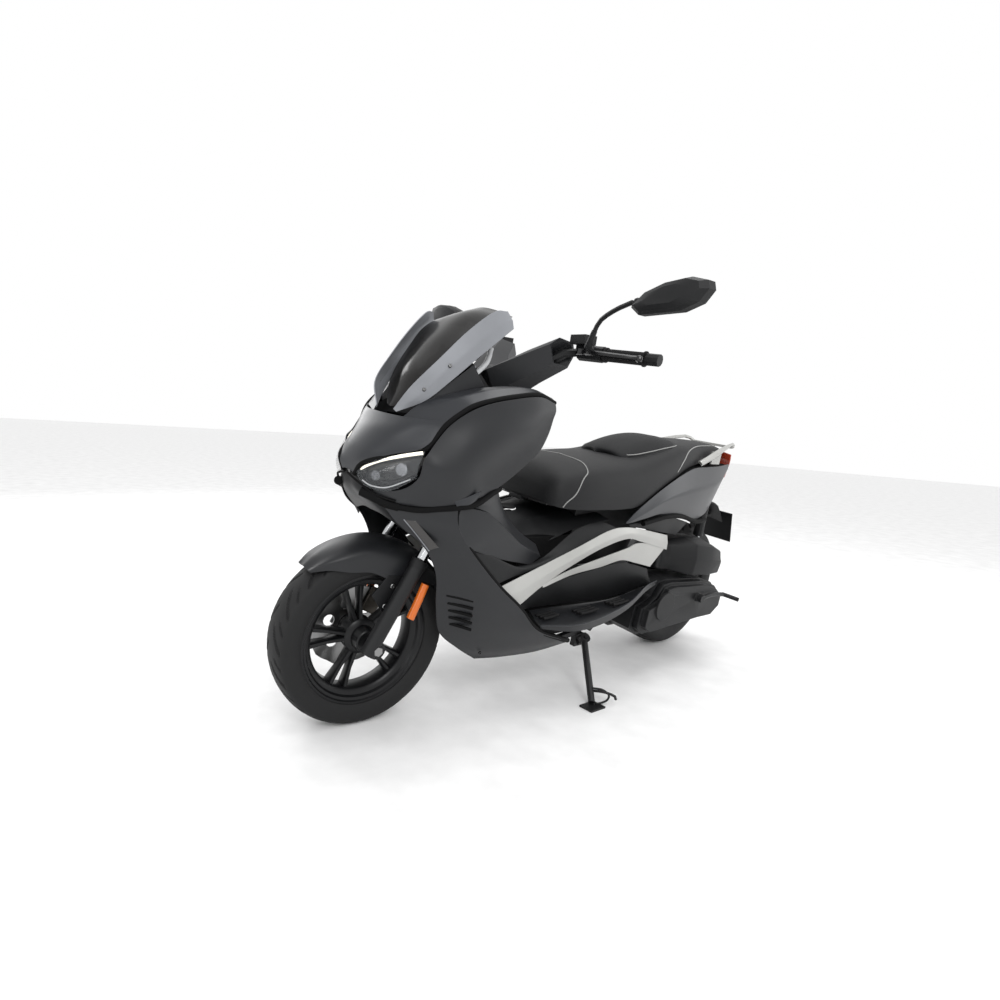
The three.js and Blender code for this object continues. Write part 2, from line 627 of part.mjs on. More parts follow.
const screenRows = [
  fullRow([[-10, 0, 874], [-14, 18, 876], [-22, 36, 880]]),
  fullRow([[-34, 0, 918], [-40, 44, 920], [-52, 84, 926]]),
  fullRow([[-58, 0, 968], [-66, 56, 970], [-84, 106, 976]]),
  fullRow([[-98, 0, 1020], [-106, 66, 1020], [-126, 122, 1030]]),
  fullRow([[-144, 0, 1074], [-152, 70, 1072], [-172, 134, 1084]]),
  fullRow([[-206, 0, 1130], [-212, 74, 1124], [-228, 142, 1118]]),
  fullRow([[-262, 0, 1154], [-264, 60, 1146], [-270, 112, 1132]]),
];
add(bike, "windscreen", shell(screenRows, [-300, 0, 950], { across: 6, along: 8, thickness: 3 }),
  ["#2a2624", 0.15]);

const trimRows = [
  [[-14, 34, 880], [-15, 38, 877], [-17, 42, 874]],
  [[-8, 84, 936], [-20, 100, 908], [-34, 108, 892]],
  [[-40, 110, 1004], [-66, 130, 958], [-92, 138, 922]],
  [[-86, 126, 1074], [-122, 146, 1022], [-152, 152, 976]],
  [[-178, 140, 1130], [-200, 156, 1076], [-206, 160, 1038]],
  [[-212, 150, 1138], [-222, 162, 1112], [-230, 168, 1092]],
].map((row) => row.map(([x, y, z]) => [x + 6, y + 5, z]));
const trimWing = shell(trimRows, [-240, 0, 950], { across: 4, along: 8, thickness: 3 });
const trimBracket = shell([
  [[-60, 110, 908], [-70, 118, 922]],
  [[-160, 138, 956], [-162, 140, 1000]],
].map((row) => row.map(([x, y, z]) => [x, y - 12, z])), [-160, 0, 900], { across: 2, along: 4 });
const screenRoom = shell(screenRows, [-300, 0, 950], { across: 6, along: 8, thickness: 8, sink: -3 });
addPair(bike, "screen_trim", cut(join(trimWing, trimBracket,
  box([-112, 126, 950], [24, 40, 10])), screenRoom), ["#8d9096", 0.4, 0.6]);

const fairingRows = [
  [[44, 110, 641], [-20, 164, 648], [-70, 188, 654], [-106, 205, 659]],
  [[10, 131, 601], [-40, 172, 606], [-78, 198, 610], [-113, 212, 613]],
  [[-60, 156, 545], [-96, 182, 550], [-128, 204, 552], [-158, 219, 552]],
  [[-103, 164, 473], [-150, 196, 470], [-200, 220, 462], [-264, 235, 449]],
  [[-122, 160, 386], [-190, 196, 388], [-262, 226, 384], [-352, 244, 379]],
  [[-157, 149, 299], [-230, 180, 300], [-320, 212, 302], [-432, 246, 306]],
  [[-230, 148, 240], [-310, 172, 232], [-420, 200, 236], [-560, 234, 252]],
  [[-308, 144, 190], [-400, 158, 186], [-520, 182, 194], [-652, 196, 212]],
];
addPair(bike, "front_fairing", shell(fairingRows, [-330, 40, 430], { across: 4, along: 9 }), CHARCOAL);

const shieldRows = [
  [[-260, -168, 712], [-330, -80, 742], [-352, 0, 752], [-330, 80, 742], [-260, 168, 712]],
  [[-282, -166, 668], [-336, -80, 682], [-352, 0, 686], [-336, 80, 682], [-282, 166, 668]],
  [[-322, -158, 622], [-350, -80, 630], [-360, 0, 632], [-350, 80, 630], [-322, 158, 622]],
  [[-384, -150, 574], [-378, -80, 590], [-376, 0, 594], [-378, 80, 590], [-384, 150, 574]],
];
const archRows = [
  [[-262, 170, 700], [-200, 190, 676], [-130, 202, 668]],
  [[-284, 166, 664], [-262, 188, 648], [-206, 208, 646]],
  [[-330, 158, 616], [-312, 184, 602], [-286, 206, 596]],
  [[-392, 152, 570], [-374, 178, 556], [-356, 200, 550]],
  [[-470, 150, 528], [-466, 166, 516], [-458, 184, 506]],
];
const arch = shell(archRows, [-330, 90, 560], { across: 3, along: 7 });
add(bike, "inner_shield", join(shell(shieldRows, [-180, 0, 600], { across: 4, along: 4 }),
  arch, mirrored(arch)), ["#232629", 0.6]);

const tunnelRows = [
  [[-392, 140, 556], [-386, 84, 582], [-384, 0, 590]],
  [[-470, 138, 520], [-450, 84, 584], [-445, 0, 596]],
  [[-545, 148, 540], [-540, 84, 592], [-535, 0, 606]],
  [[-640, 158, 576], [-640, 90, 606], [-640, 0, 612]],
  [[-760, 172, 596], [-760, 90, 612], [-760, 0, 614]],
];
const tunnelHalf = shell(tunnelRows, [-560, 0, 480], { across: 4, along: 6 });
add(bike, "center_tunnel", cut(join(tunnelHalf, mirrored(tunnelHalf)),
  rod([FLAP_CENTRE, 0, 560], [FLAP_CENTRE, 0, 640], FLAP_RADIUS + 3, 16), box([FLAP_HINGE[0], 0, 600], [24, 32, 40]),
  box([-736, 0, 600], [150, 238, 140])), ["#1d2023", 0.6]);

const flap = body(bike, "fuel_flap_hinge", FLAP_HINGE, [0, 1, 0]);
add(flap, "fuel_flap", join(rod([FLAP_CENTRE, 0, 599.5], [FLAP_CENTRE, 0, 604], FLAP_RADIUS, 16),
  box([FLAP_HINGE[0] - 6, 0, 601.8], [16, 26, 4.2])), BLACK);

const tunnelSideRows = [
  [[-172, 208, 544], [-208, 214, 508], [-268, 218, 450]],
  [[-240, 206, 532], [-300, 214, 500], [-334, 216, 466]],
  [[-335, 200, 490], [-380, 210, 486], [-414, 216, 480]],
  [[-456, 190, 498], [-490, 204, 506], [-520, 213, 508]],
  [[-600, 176, 570], [-630, 196, 558], [-650, 206, 552]],
  [[-714, 172, 594], [-736, 190, 588], [-760, 202, 580]],
];

const trimUpperRows = [
  [[-278, 224, 443], [-306, 228, 404], [-352, 226, 375]],
  [[-413, 229, 490], [-425, 233, 462], [-445, 226, 432]],
  [[-560, 230, 538], [-556, 234, 512], [-560, 226, 484]],
  [[-700, 222, 578], [-690, 228, 550], [-690, 220, 524]],
  [[-790, 216, 583], [-800, 222, 562], [-810, 216, 544]],
  [[-900, 208, 568], [-905, 212, 548], [-905, 208, 526]],
  [[-1060, 199, 538], [-1070, 201, 510], [-1080, 197, 484]],
];
const trimLowerRows = [
  [[-436, 226, 436], [-448, 226, 425]],
  [[-560, 222, 466], [-574, 216, 447]],
  [[-700, 220, 492], [-706, 212, 458]],
  [[-820, 214, 510], [-814, 207, 470]],
  [[-900, 206, 522], [-905, 202, 452]],
  [[-1076, 196, 500], [-1004, 196, 428]],
];
const boomerang = join(shell(trimUpperRows, [-640, 60, 480], { across: 2, along: 9, thickness: 4 }),
  shell(trimLowerRows, [-640, 60, 480], { across: 1, along: 7, thickness: 4 }),
  box([-440, 222, 432], [20, 6, 10]), box([-1070, 195, 500], [20, 5, 20]));
addPair(bike, "side_trim", boomerang, SILVER);

const sideCoverRows = [
  [[-372, 212, 366], [-400, 192, 350], [-448, 166, 334]],
  [[-470, 206, 420], [-520, 188, 380], [-545, 168, 334]],
  [[-620, 202, 440], [-640, 192, 380], [-660, 176, 334]],
  [[-815, 199, 458], [-816, 194, 396], [-818, 186, 336]],
  [[-905, 195, 444], [-915, 193, 392], [-930, 188, 350]],
  [[-1000, 190, 420], [-1018, 190, 392], [-1040, 190, 368]],
];

const footRows = [
  [[-474, 168, 328], [-456, 208, 322], [-450, 238, 314], [-458, 236, 302]],
  [[-545, 170, 328], [-548, 220, 325], [-552, 276, 318], [-556, 272, 296]],
  [[-660, 178, 328], [-664, 230, 332], [-666, 282, 330], [-670, 276, 300]],
  [[-818, 188, 330], [-814, 236, 344], [-806, 272, 354], [-806, 268, 328]],
  [[-940, 190, 346], [-930, 226, 368], [-916, 250, 388], [-920, 248, 366]],
  [[-1040, 191, 362], [-1036, 204, 372], [-1030, 214, 382], [-1032, 214, 368]],
];
const footSkin = shell(footRows, [-700, 150, 200], { across: 4, along: 7, thickness: 4 });
const footBeam = box([-640, 205, 302], [200, 110, 8]);
addPair(bike, "footboard", join(footSkin, box([-600, 200, 315], [120, 50, 24]), footBeam), BLACK);

const tailRows = [
  [[-806, 201, 592], [-812, 202, 590], [-820, 200, 588]],
  [[-872, 197, 637], [-890, 202, 618], [-915, 197, 602]],
  [[-1019, 178, 701], [-1020, 196, 664], [-1035, 186, 610]],
  [[-1200, 153, 757], [-1190, 178, 690], [-1245, 162, 572]],
  [[-1330, 138, 764], [-1330, 158, 700], [-1370, 140, 582]],
  [[-1440, 122, 766], [-1450, 134, 712], [-1459, 112, 609]],
  [[-1556, 98, 772], [-1556, 98, 752], [-1550, 92, 712]],
];
addPair(bike, "tail_panel", shell(tailRows, [-1150, 40, 660], { across: 4, along: 9 }), GUNMETAL);

/** Ribs behind the trim that hold the upper, lower and rear covers together. */
function coverRibs() {
  return [rod([-515, 208, 516], [-500, 202, 426], 4, 6), rod([-640, 200, 556], [-640, 199, 438], 4, 6),
    rod([-905, 191, 436], [-930, 183, 566], 4, 6)];
}

const bellyRows = [
  [[-838, 192, 582], [-846, 192, 576]],
  [[-960, 184, 588], [-975, 182, 556]],
  [[-1040, 178, 596], [-1080, 172, 538]],
  [[-1140, 168, 586], [-1150, 162, 526]],
  [[-1246, 156, 564], [-1180, 160, 520]],
];
const sideCover = join(shell(tunnelSideRows, [-450, 60, 460], { across: 2, along: 7 }),
  shell(sideCoverRows, [-700, 40, 420], { across: 3, along: 7 }),
  shell(bellyRows, [-1000, 60, 560], { across: 2, along: 5 }), ...coverRibs());
addPair(bike, "side_cover", sideCover, BLACK);

// ---------------------------------------------------------------- instrument panel
const dash = shell([
  [[-232, -120, 940], [-226, 0, 952], [-232, 120, 940]],
  [[-210, -112, 968], [-204, 0, 992], [-210, 112, 968]],
  [[-178, -96, 1004], [-172, 0, 1040], [-178, 96, 1004]],
], [-100, 0, 900], { across: 6, along: 4, thickness: 12 });
const dashStay = join(bentRod([[-286, 40, 742], [-240, 50, 800], [-200, 60, 880], [-206, 60, 968]], 7, 6, 6),
  bentRod([[-286, -40, 742], [-240, -50, 800], [-200, -60, 880], [-206, -60, 968]], 7, 6, 6));
add(bike, "instrument_panel", join(dash, dashStay, rod([-222, -56, 830], [-222, 56, 830], 6, 8)), BLACK);

// ---------------------------------------------------------------- seat, bucket and tail
/** Cross-section ring of the seat: flat below, crowned above. */
function seatRing([x, w, low, top]) {
  const h = top - low;
  return [[x, -w, low], [x, -w, low + 0.3 * h], [x, -0.9 * w, low + 0.68 * h], [x, -0.62 * w, low + 0.92 * h],
    [x, 0, top], [x, 0.62 * w, low + 0.92 * h], [x, 0.9 * w, low + 0.68 * h], [x, w, low + 0.3 * h],
    [x, w, low]];
}
const seatStations = [[-512, 60, 645, 672], [-545, 108, 637, 716], [-600, 140, 634, 742], [-690, 166, 633, 764],
  [-790, 184, 633, 776], [-870, 187, 640, 784], [-940, 180, 668, 796], [-1030, 168, 704, 822],
  [-1110, 156, 732, 838], [-1196, 138, 758, 842], [-1330, 106, 774, 844], [-1470, 84, 784, 841],
  [-1560, 56, 792, 828]];
const seat = body(bike, "seat_hinge", SEAT_HINGE, [0, 1, 0]);
add(seat, "seat_cushion", loft(seatStations.map((s) => seatRing(s))), ["#1b1c1e", 0.8]);
const basePlate = loft(seatStations.map(([x, half, low]) => {
  const w = half * 0.93 - 6;
  return [[x, -w, low - 9], [x, -w, low - 1], [x, w, low - 1], [x, w, low - 9]];
}));
const hingeEar = box([-516, 0, 634], [18, 50, 12]);
add(seat, "seat_base", join(basePlate, hingeEar), BLACK);

const bucketSide = [[-664, 618], [-664, 470], [-690, 432], [-960, 432], [-1004, 548], [-1210, 580],
  [-1216, 640], [-1010, 640], [-900, 618]];
const bucketOuter = sidePlate(bucketSide, -116, 116);
const bucketInner = sidePlate([[-668, 660], [-668, 472], [-692, 436], [-956, 436], [-1000, 552], [-1206, 584],
  [-1212, 680], [-1010, 700]], -112, 112);
add(bike, "storage_bucket", cut(bucketOuter, bucketInner), BLACK);

function grabRail() {
  const wing = shell([
    [[-1268, 148, 776], [-1274, 134, 784], [-1278, 124, 782]],
    [[-1330, 148, 796], [-1336, 132, 808], [-1336, 120, 800]],
    [[-1420, 136, 824], [-1424, 120, 836], [-1426, 110, 826]],
    [[-1540, 106, 850], [-1544, 98, 856], [-1540, 92, 848]],
    [[-1592, 84, 836], [-1590, 80, 842], [-1582, 78, 836]],
  ], [-1430, 60, 700], { across: 4, along: 8, thickness: 9 });
  const strut = box([-1404, 118.4, 796], [57, 7.5, 46]);
  const tailBar = box([-1583.2, 0, 834.7], [12.6, 161, 9.4]);
  return join(wing, mirrored(wing), strut, mirrored(strut), tailBar);
}
add(bike, "grab_rail", grabRail(), SILVER);

const tailLampRows = [
  [[-1568, -92, 808], [-1586, -40, 814], [-1590, 0, 815], [-1586, 40, 814], [-1568, 92, 808]],
  [[-1568, -94, 774], [-1588, -40, 776], [-1592, 0, 776], [-1588, 40, 776], [-1568, 94, 774]],
  [[-1562, -90, 716], [-1574, -40, 716], [-1578, 0, 716], [-1574, 40, 716], [-1562, 90, 716]],
];
add(bike, "tail_lamp", shell(tailLampRows, [-1400, 0, 750], { across: 8, along: 4, thickness: 4 }),
  ["#a01818", 0.2]);

function plateHolder() {
  const arm = bentRod([[-1500, 0, 696], [-1521, 0, 655], [-1566, 0, 603], [-1655, 0, 571]], 15, 5, 6);
  const guard = shell([
    [[-1440, -62, 616], [-1440, 0, 628], [-1440, 62, 616]],
    [[-1545, -68, 612], [-1545, 0, 623], [-1545, 68, 612]],
    [[-1620, -66, 592], [-1624, 0, 600], [-1620, 66, 592]],
    [[-1700, -60, 520], [-1706, 0, 526], [-1700, 60, 520]],
  ], [-1471, 0, 400], { across: 4, along: 6, thickness: 4 });
  const face = box([0, 0, 0], [4, 180, 130]).rotateY(0.32).translate(-1722, 0, 500);
  return join(arm, guard, face, box([-1680, 0, 552], [60, 20, 30]));
}
add(bike, "plate_holder", plateHolder(), BLACK);

// ---------------------------------------------------------------- swing unit
const caseOutline = [[-968, 292], [-1010, 302], [-1050, 320], [-1078, 368], [-1130, 372],
  [-1350, 356], [-1440, 330], [-1492, 290], [-1492, 232], [-1440, 196], [-1330, 196], [-1180, 190], [-1010, 178], [-960, 210]];
const caseBody = sidePlate(caseOutline, 98, 196);
const crank = sidePlate([[-958, 210], [-958, 350], [-1120, 380], [-1176, 350], [-1176, 214], [-1080, 170],
  [-990, 172]], -96, 98.5);
const cylinder = sidePlate([[-960, 262], [-960, 338], [-880, 330], [-880, 262]], -52, 52);
const pivotEar = sidePlate([[-960, 218], [-960, 264], [-896, 256], [-888, 238], [-896, 222]], 40, 82);
const hubBoss = rod([AXLE_REAR[0], 70, AXLE_REAR[2]], [AXLE_REAR[0], 99, AXLE_REAR[2]], 38, 16);
const hubAxle = rod([AXLE_REAR[0], -112, AXLE_REAR[2]], [AXLE_REAR[0], 99, AXLE_REAR[2]], 10, 12);
const pivotStub = rod([SWING_PIVOT[0], 44, SWING_PIVOT[2]], [SWING_PIVOT[0], 118, SWING_PIVOT[2]], 8, 10);
const rightArm = sidePlate([[-1100, 230], [-1100, 290], [-1440, 290], [-1496, 276], [-1496, 240],
  [-1440, 232]], -112, -96.5);
const shockLug = sidePlate([[-1502, 276], [-1502, 345], [-1470, 345], [-1458, 276]], 97, 103.5);
const rightLug = sidePlate([[-1500, 262], [-1502, 345], [-1470, 345], [-1452, 262]], -104, -96.6);
const rearRoom = turned([[1, 66.5], [REAR_RADIUS + 7, 66.5], [REAR_RADIUS + 7, -66.5], [1, -66.5]],
  AXLE_REAR, 32);
const crankBody = cut(join(crank, cylinder, pivotEar, mirrored(pivotEar)), rearRoom);
add(swing, "engine_unit", join(crankBody, caseBody, hubBoss, hubAxle, pivotStub,
  mirrored(pivotStub), rightArm, box([-1110, -96, 262], [60, 20, 50]), shockLug, rightLug), ENGINE);

const coverOutline = [[-980, 286], [-1014, 296], [-1056, 318], [-1084, 362], [-1128, 366],
  [-1346, 350], [-1434, 324], [-1484, 288], [-1484, 240], [-1436, 204], [-1330, 204], [-1182, 198], [-1014, 188], [-978, 214]];
const cvtCover = join(sidePlate(coverOutline, 196.5, 216), sidePlate(coverOutline.map(([x, z]) =>
  [-1230 + (x + 1230) * 0.93, 280 + (z - 280) * 0.86]), 214, 234),
rod([-1085, 230, 290], [-1085, 240, 290], 52, 20),
rod([KICK_PIVOT[0], 230, KICK_PIVOT[2]], [KICK_PIVOT[0], 240, KICK_PIVOT[2]], 17, 14));
add(swing, "cvt_cover", cvtCover, ENGINE);

function airBox() {
  const ring = (x, y0, y1, z0, z1) => [[x, y0, z0], [x, y1, z0 + 6], [x, y1 + 2, (z0 + z1) / 2],
    [x, y1 - 8, z1 - 14], [x, (y0 + y1) / 2, z1], [x, y0, z1 - 6]];
  return loft([ring(-1090, 100, 168, 400, 470), ring(-1140, 98, 150, 384, 486),
    ring(-1185, 98, 156, 380, 494), ring(-1240, 98, 222, 378, 512), ring(-1330, 98, 232, 374, 506), ring(-1400, 98, 230, 376, 480),
    ring(-1436, 104, 216, 390, 452)]);
}
add(swing, "air_box", cut(airBox(), rearRoom), BLACK);

const muffler = join(
  rod([-1120, -174, 250], [-1560, -190, 330], 56, 10, 52),
  rod([-1559, -190, 329.8], [-1592, -191.2, 336], 52, 10, 34),
  rod([-1121, -174, 250.2], [-1090, -172.9, 244.5], 56, 10, 34),
  bentRod([[-1094, -172, 244], [-1040, -130, 166], [-1000, -70, 142], [-936, -20, 148],
    [-913, -14, 188], [-911, -14, 256]], 12, 8, 6),
  box([-1180, -128, 300], [40, 30, 12]));
const mufflerBore = rod([-1500, -187.8, 319], [-1610, -191.8, 339], 22, 8);
add(swing, "muffler", cut(muffler, mufflerBore), ["#2a2b2d", 0.4, 0.5]);

const kick = body(swing, "kick_lever_hinge", KICK_PIVOT, [0, 1, 0]);
const kickHub = rod([KICK_PIVOT[0], 240.6, KICK_PIVOT[2]], [KICK_PIVOT[0], 256, KICK_PIVOT[2]], 15, 14);
const kickArm = bentRod([[-1292, 249, 300], [-1340, 250, 308], [-1400, 252, 306], [-1440, 256, 302]], 8, 6, 6);
const kickPedal = rod([-1437, 250, 302], [-1448, 306, 300], 8, 10);
add(kick, "kick_lever", join(kickHub, kickArm, kickPedal), ENGINE);

// ---------------------------------------------------------------- rear shock absorbers
function between(a, b, t) {
  return a.map((v, i) => v + t * (b[i] - v));
}
["left", "right"].forEach((sideName) => {
  const flip = (p) => (sideName === "left" ? p : mirrorPoint(p));
  const top = flip(SHOCK_TOP);
  const foot = flip(SHOCK_FOOT);
  const direction = between(top, foot, 1).map((v, i) => v - top[i]);
  const upper = body(bike, `shock_${sideName}_hinge`, top, [0, 1, 0]);
  const eye = rod([top[0], top[1] - 10, top[2]], [top[0], top[1] + 10, top[2]], 16, 12);
  const can = rod(between(top, foot, 0.07), between(top, foot, 0.52), 17.5, 12);
  const neck = rod(top, between(top, foot, 0.1), 9, 8);
  const canBore = rod(between(top, foot, 0.12), between(top, foot, 0.6), 11, 10);
  add(upper, `shock_body_${sideName}`, cut(join(eye, neck, can), canBore), ["#4a4c4f", 0.4, 0.6]);
  const lower = body(upper, `shock_${sideName}_slide`, foot, direction);
  const rodPart = rod(between(top, foot, 0.32), between(top, foot, 0.9), 8, 10);
  const cup = rod(between(top, foot, 0.8), between(top, foot, 0.88), 19, 12);
  const footEye = rod([foot[0], foot[1] - 10, foot[2]], [foot[0], foot[1] + 10, foot[2]], 15, 12);
  const link = rod(between(top, foot, 0.86), foot, 11, 10);
  add(lower, `shock_rod_${sideName}`, join(rodPart, cup, footEye, link), STEEL);
});

// ---------------------------------------------------------------- side stand
function standGeometry() {
  const leg = rod(between(STAND_PIVOT, STAND_FOOT, 0.02), between(STAND_PIVOT, STAND_FOOT, 0.93), 10.6, 9);
  const hub = rod(onStandAxis(-11), onStandAxis(11), 17, 12);
  const tang = bentRod([[-712, 262, 66], [-740, 300, 74], [-764, 322, 66], [-770, 322, 56]], 4.5, 7, 6);
  return cut(join(leg, hub, tang), rod(onStandAxis(-50), onStandAxis(20), 6.6, 8));
}
const stand = body(bike, "side_stand_hinge", STAND_PIVOT, STAND_AXIS);

// The foot plate lies flat on the ground while the machine leans on it.
const footPlate = box([0, 0, 0], [66, 46, 6]).rotateX(THREE.MathUtils.degToRad(LEAN_DEG));
const lean = THREE.MathUtils.degToRad(LEAN_DEG);
const GROUND_FOOT = [-690, 302, 2.5];
footPlate.translate(GROUND_FOOT[0],
  GROUND_FOOT[1] * Math.cos(lean) - GROUND_FOOT[2] * Math.sin(lean),
  GROUND_FOOT[1] * Math.sin(lean) + GROUND_FOOT[2] * Math.cos(lean));
add(stand, "side_stand", join(standGeometry(), footPlate), BLACK);

// ---------------------------------------------------------------- lean and origin
bike.rotation.x = -lean;
const scooter = new THREE.Group();
scooter.add(bike);
scooter.updateMatrixWorld(true);
const bounds = new THREE.Box3().setFromObject(scooter, true);
scooter.position.set(-(bounds.min.x + bounds.max.x) / 2, -(bounds.min.y + bounds.max.y) / 2, -bounds.min.z);

export default scooter;
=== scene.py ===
# Looks of a maxi moped scooter on its side stand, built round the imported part.
import json
import math

import bmesh
import bpy
import numpy as np
from mathutils import Matrix, Vector


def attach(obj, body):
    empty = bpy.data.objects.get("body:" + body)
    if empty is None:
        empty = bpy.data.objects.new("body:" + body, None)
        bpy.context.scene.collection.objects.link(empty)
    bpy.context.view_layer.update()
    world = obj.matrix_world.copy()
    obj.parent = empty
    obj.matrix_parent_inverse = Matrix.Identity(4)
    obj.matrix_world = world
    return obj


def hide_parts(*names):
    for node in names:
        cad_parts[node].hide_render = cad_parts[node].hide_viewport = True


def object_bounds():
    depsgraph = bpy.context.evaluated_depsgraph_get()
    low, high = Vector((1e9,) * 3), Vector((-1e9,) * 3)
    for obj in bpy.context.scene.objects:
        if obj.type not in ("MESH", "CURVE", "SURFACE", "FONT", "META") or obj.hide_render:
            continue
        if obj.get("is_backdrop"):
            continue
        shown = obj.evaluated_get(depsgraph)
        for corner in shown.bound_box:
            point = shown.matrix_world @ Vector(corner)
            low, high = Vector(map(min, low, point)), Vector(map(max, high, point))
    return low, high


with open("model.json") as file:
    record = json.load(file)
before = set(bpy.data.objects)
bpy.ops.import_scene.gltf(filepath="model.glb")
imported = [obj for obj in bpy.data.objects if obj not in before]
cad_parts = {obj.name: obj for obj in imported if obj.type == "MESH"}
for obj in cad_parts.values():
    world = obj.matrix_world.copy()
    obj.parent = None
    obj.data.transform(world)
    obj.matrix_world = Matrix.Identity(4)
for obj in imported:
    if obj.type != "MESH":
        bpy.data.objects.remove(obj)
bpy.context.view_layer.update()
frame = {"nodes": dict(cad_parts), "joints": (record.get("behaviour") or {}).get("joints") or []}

# ------------------------------------------------------------------ frames
# Shapes are drawn upright in millimetres: +X forward, +Y left, +Z up, origin under the front axle.
LEAN = math.radians(6.5)
STEER = math.radians(-4.7)
RAKE = math.radians(27)
TRAIL = 92
FRONT = Vector((0, 0, 250))
REAR = Vector((-1471, 0, 257))
SWING_PIVOT = Vector((-905, 0, 238))


def joint(name):
    return next(j for j in frame["joints"] if j["name"] == name)


LEANED = Matrix.Rotation(-LEAN, 4, "X") @ Matrix.Scale(0.001, 4)
ORIGIN = Vector(joint("swing_unit_hinge")["pos_m"]) - LEANED @ SWING_PIVOT
BIKE = Matrix.Translation(ORIGIN) @ LEANED
STEER_AXIS = Vector((-math.sin(RAKE), 0, math.cos(RAKE)))
TURN = (Matrix.Translation((TRAIL, 0, 0)) @ Matrix.Rotation(STEER, 4, STEER_AXIS)
        @ Matrix.Translation((-TRAIL, 0, 0)))
STEERED = BIKE @ TURN


def on_steering(z, ahead=0, y=0):
    """A point on the steering axis at height z, moved ahead at right angles to it."""
    x = TRAIL - z * math.tan(RAKE)
    return (x + ahead * math.cos(RAKE), y, z + ahead * math.sin(RAKE))


# ------------------------------------------------------------------ materials
def mat(name, color, rough=0.5, metal=0.0, bump=0.0, scale=900, vary=0.06, coat=0.0, alpha=1.0,
        emit=0.0, shine=0.5):
    """A surface with fine grain in its height, its roughness and its colour."""
    m = bpy.data.materials.new(name)
    m.use_nodes = True
    nodes, links = m.node_tree.nodes, m.node_tree.links
    b = nodes["Principled BSDF"]
    b.inputs["Metallic"].default_value = metal
    b.inputs["Coat Weight"].default_value = coat
    b.inputs["Alpha"].default_value = alpha
    b.inputs["Specular IOR Level"].default_value = shine
    place = nodes.new("ShaderNodeTexCoord")
    fine = nodes.new("ShaderNodeTexNoise")
    fine.inputs["Scale"].default_value = scale
    fine.inputs["Detail"].default_value = 4
    broad = nodes.new("ShaderNodeTexNoise")
    broad.inputs["Scale"].default_value = 9
    broad.inputs["Detail"].default_value = 5
    for n in (fine, broad):
        links.new(place.outputs["Object"], n.inputs["Vector"])
    ramp = nodes.new("ShaderNodeMapRange")
    ramp.inputs["To Min"].default_value = max(0.02, rough - vary)
    ramp.inputs["To Max"].default_value = min(1, rough + vary)
    links.new(broad.outputs["Fac"], ramp.inputs["Value"])
    links.new(ramp.outputs["Result"], b.inputs["Roughness"])
    tone = nodes.new("ShaderNodeMix")
    tone.data_type = "RGBA"
    tone.inputs["A"].default_value = (*[c * 0.86 for c in color], 1)
    tone.inputs["B"].default_value = (*[min(1, c * 1.14) for c in color], 1)
    links.new(broad.outputs["Fac"], tone.inputs["Factor"])
    links.new(tone.outputs["Result"], b.inputs["Base Color"])
    if bump:
        height = nodes.new("ShaderNodeBump")
        height.inputs["Strength"].default_value = bump
        height.inputs["Distance"].default_value = 0.0006
        links.new(fine.outputs["Fac"], height.inputs["Height"])
        links.new(height.outputs["Normal"], b.inputs["Normal"])
    if emit:
        b.inputs["Emission Color"].default_value = (*color, 1)
        b.inputs["Emission Strength"].default_value = emit
    return m


CHARCOAL = mat("charcoal", (0.0125, 0.0132, 0.015), 0.42, bump=0.10, shine=0.34)
GUNMETAL = mat("gunmetal", (0.024, 0.0255, 0.029), 0.34, 0.25, bump=0.03, shine=0.4)
SILVER = mat("silver paint", (0.40, 0.40, 0.385), 0.38, 0.35, bump=0.02)
PALE = mat("pale grey", (0.22, 0.228, 0.245), 0.36, 0.35, bump=0.03)
BLACK = mat("black plastic", (0.0055, 0.0058, 0.0065), 0.52, bump=0.22, scale=1400, shine=0.28)
PAINTED_SHADE = mat("painted shade black", (0.002, 0.002, 0.0022), 0.7, bump=0.1, shine=0.12)
# Painted shade: a near-black, barely reflective colour for the gaps, recesses and hollows where shade
# falls.
GLOSS = mat("gloss black", (0.004, 0.004, 0.0045), 0.2, shine=0.4)
TYRE = mat("tyre rubber", (0.0075, 0.0076, 0.008), 0.66, bump=0.25, scale=700, shine=0.3)
GRIP = mat("grip rubber", (0.006, 0.006, 0.0065), 0.8, bump=0.3, shine=0.25)
RIM = mat("black alloy", (0.006, 0.0063, 0.007), 0.36, 0.25, bump=0.05, shine=0.35)
CAST = mat("cast black", (0.009, 0.0094, 0.0102), 0.5, 0.2, bump=0.45, scale=600, shine=0.35)
STEEL = mat("steel", (0.28, 0.28, 0.28), 0.3, 1.0, bump=0.04)
CHROME = mat("chrome", (0.5, 0.51, 0.52), 0.14, 1.0)
BRONZE = mat("bronze grey", (0.07, 0.062, 0.052), 0.42, 0.6, bump=0.2)
SEAT_SKIN = mat("seat cover", (0.0078, 0.008, 0.0088), 0.6, bump=0.55, scale=420, shine=0.3)
PAD_SKIN = mat("pad cover", (0.009, 0.0093, 0.010), 0.66, bump=0.7, scale=300, shine=0.25)
PIPING = mat("piping", (0.25, 0.25, 0.245), 0.6, bump=0.15)
SMOKE = mat("smoked screen", (0.005, 0.0044, 0.004), 0.14, alpha=0.92, shine=0.22)
CLEAR = mat("clear lens", (0.2, 0.21, 0.22), 0.05, alpha=0.12)
REFLECTOR = mat("reflector bowl", (0.16, 0.165, 0.175), 0.18, 1.0)
WHITE = mat("white part", (0.5, 0.51, 0.52), 0.35)
LED = mat("warm led", (1.0, 0.93, 0.78), 0.3, emit=1.1)
AMBER = mat("amber reflector", (0.55, 0.12, 0.012), 0.2)
RED = mat("red lens", (0.36, 0.045, 0.02), 0.16)
SMOKED = mat("smoked lens", (0.03, 0.028, 0.027), 0.12)


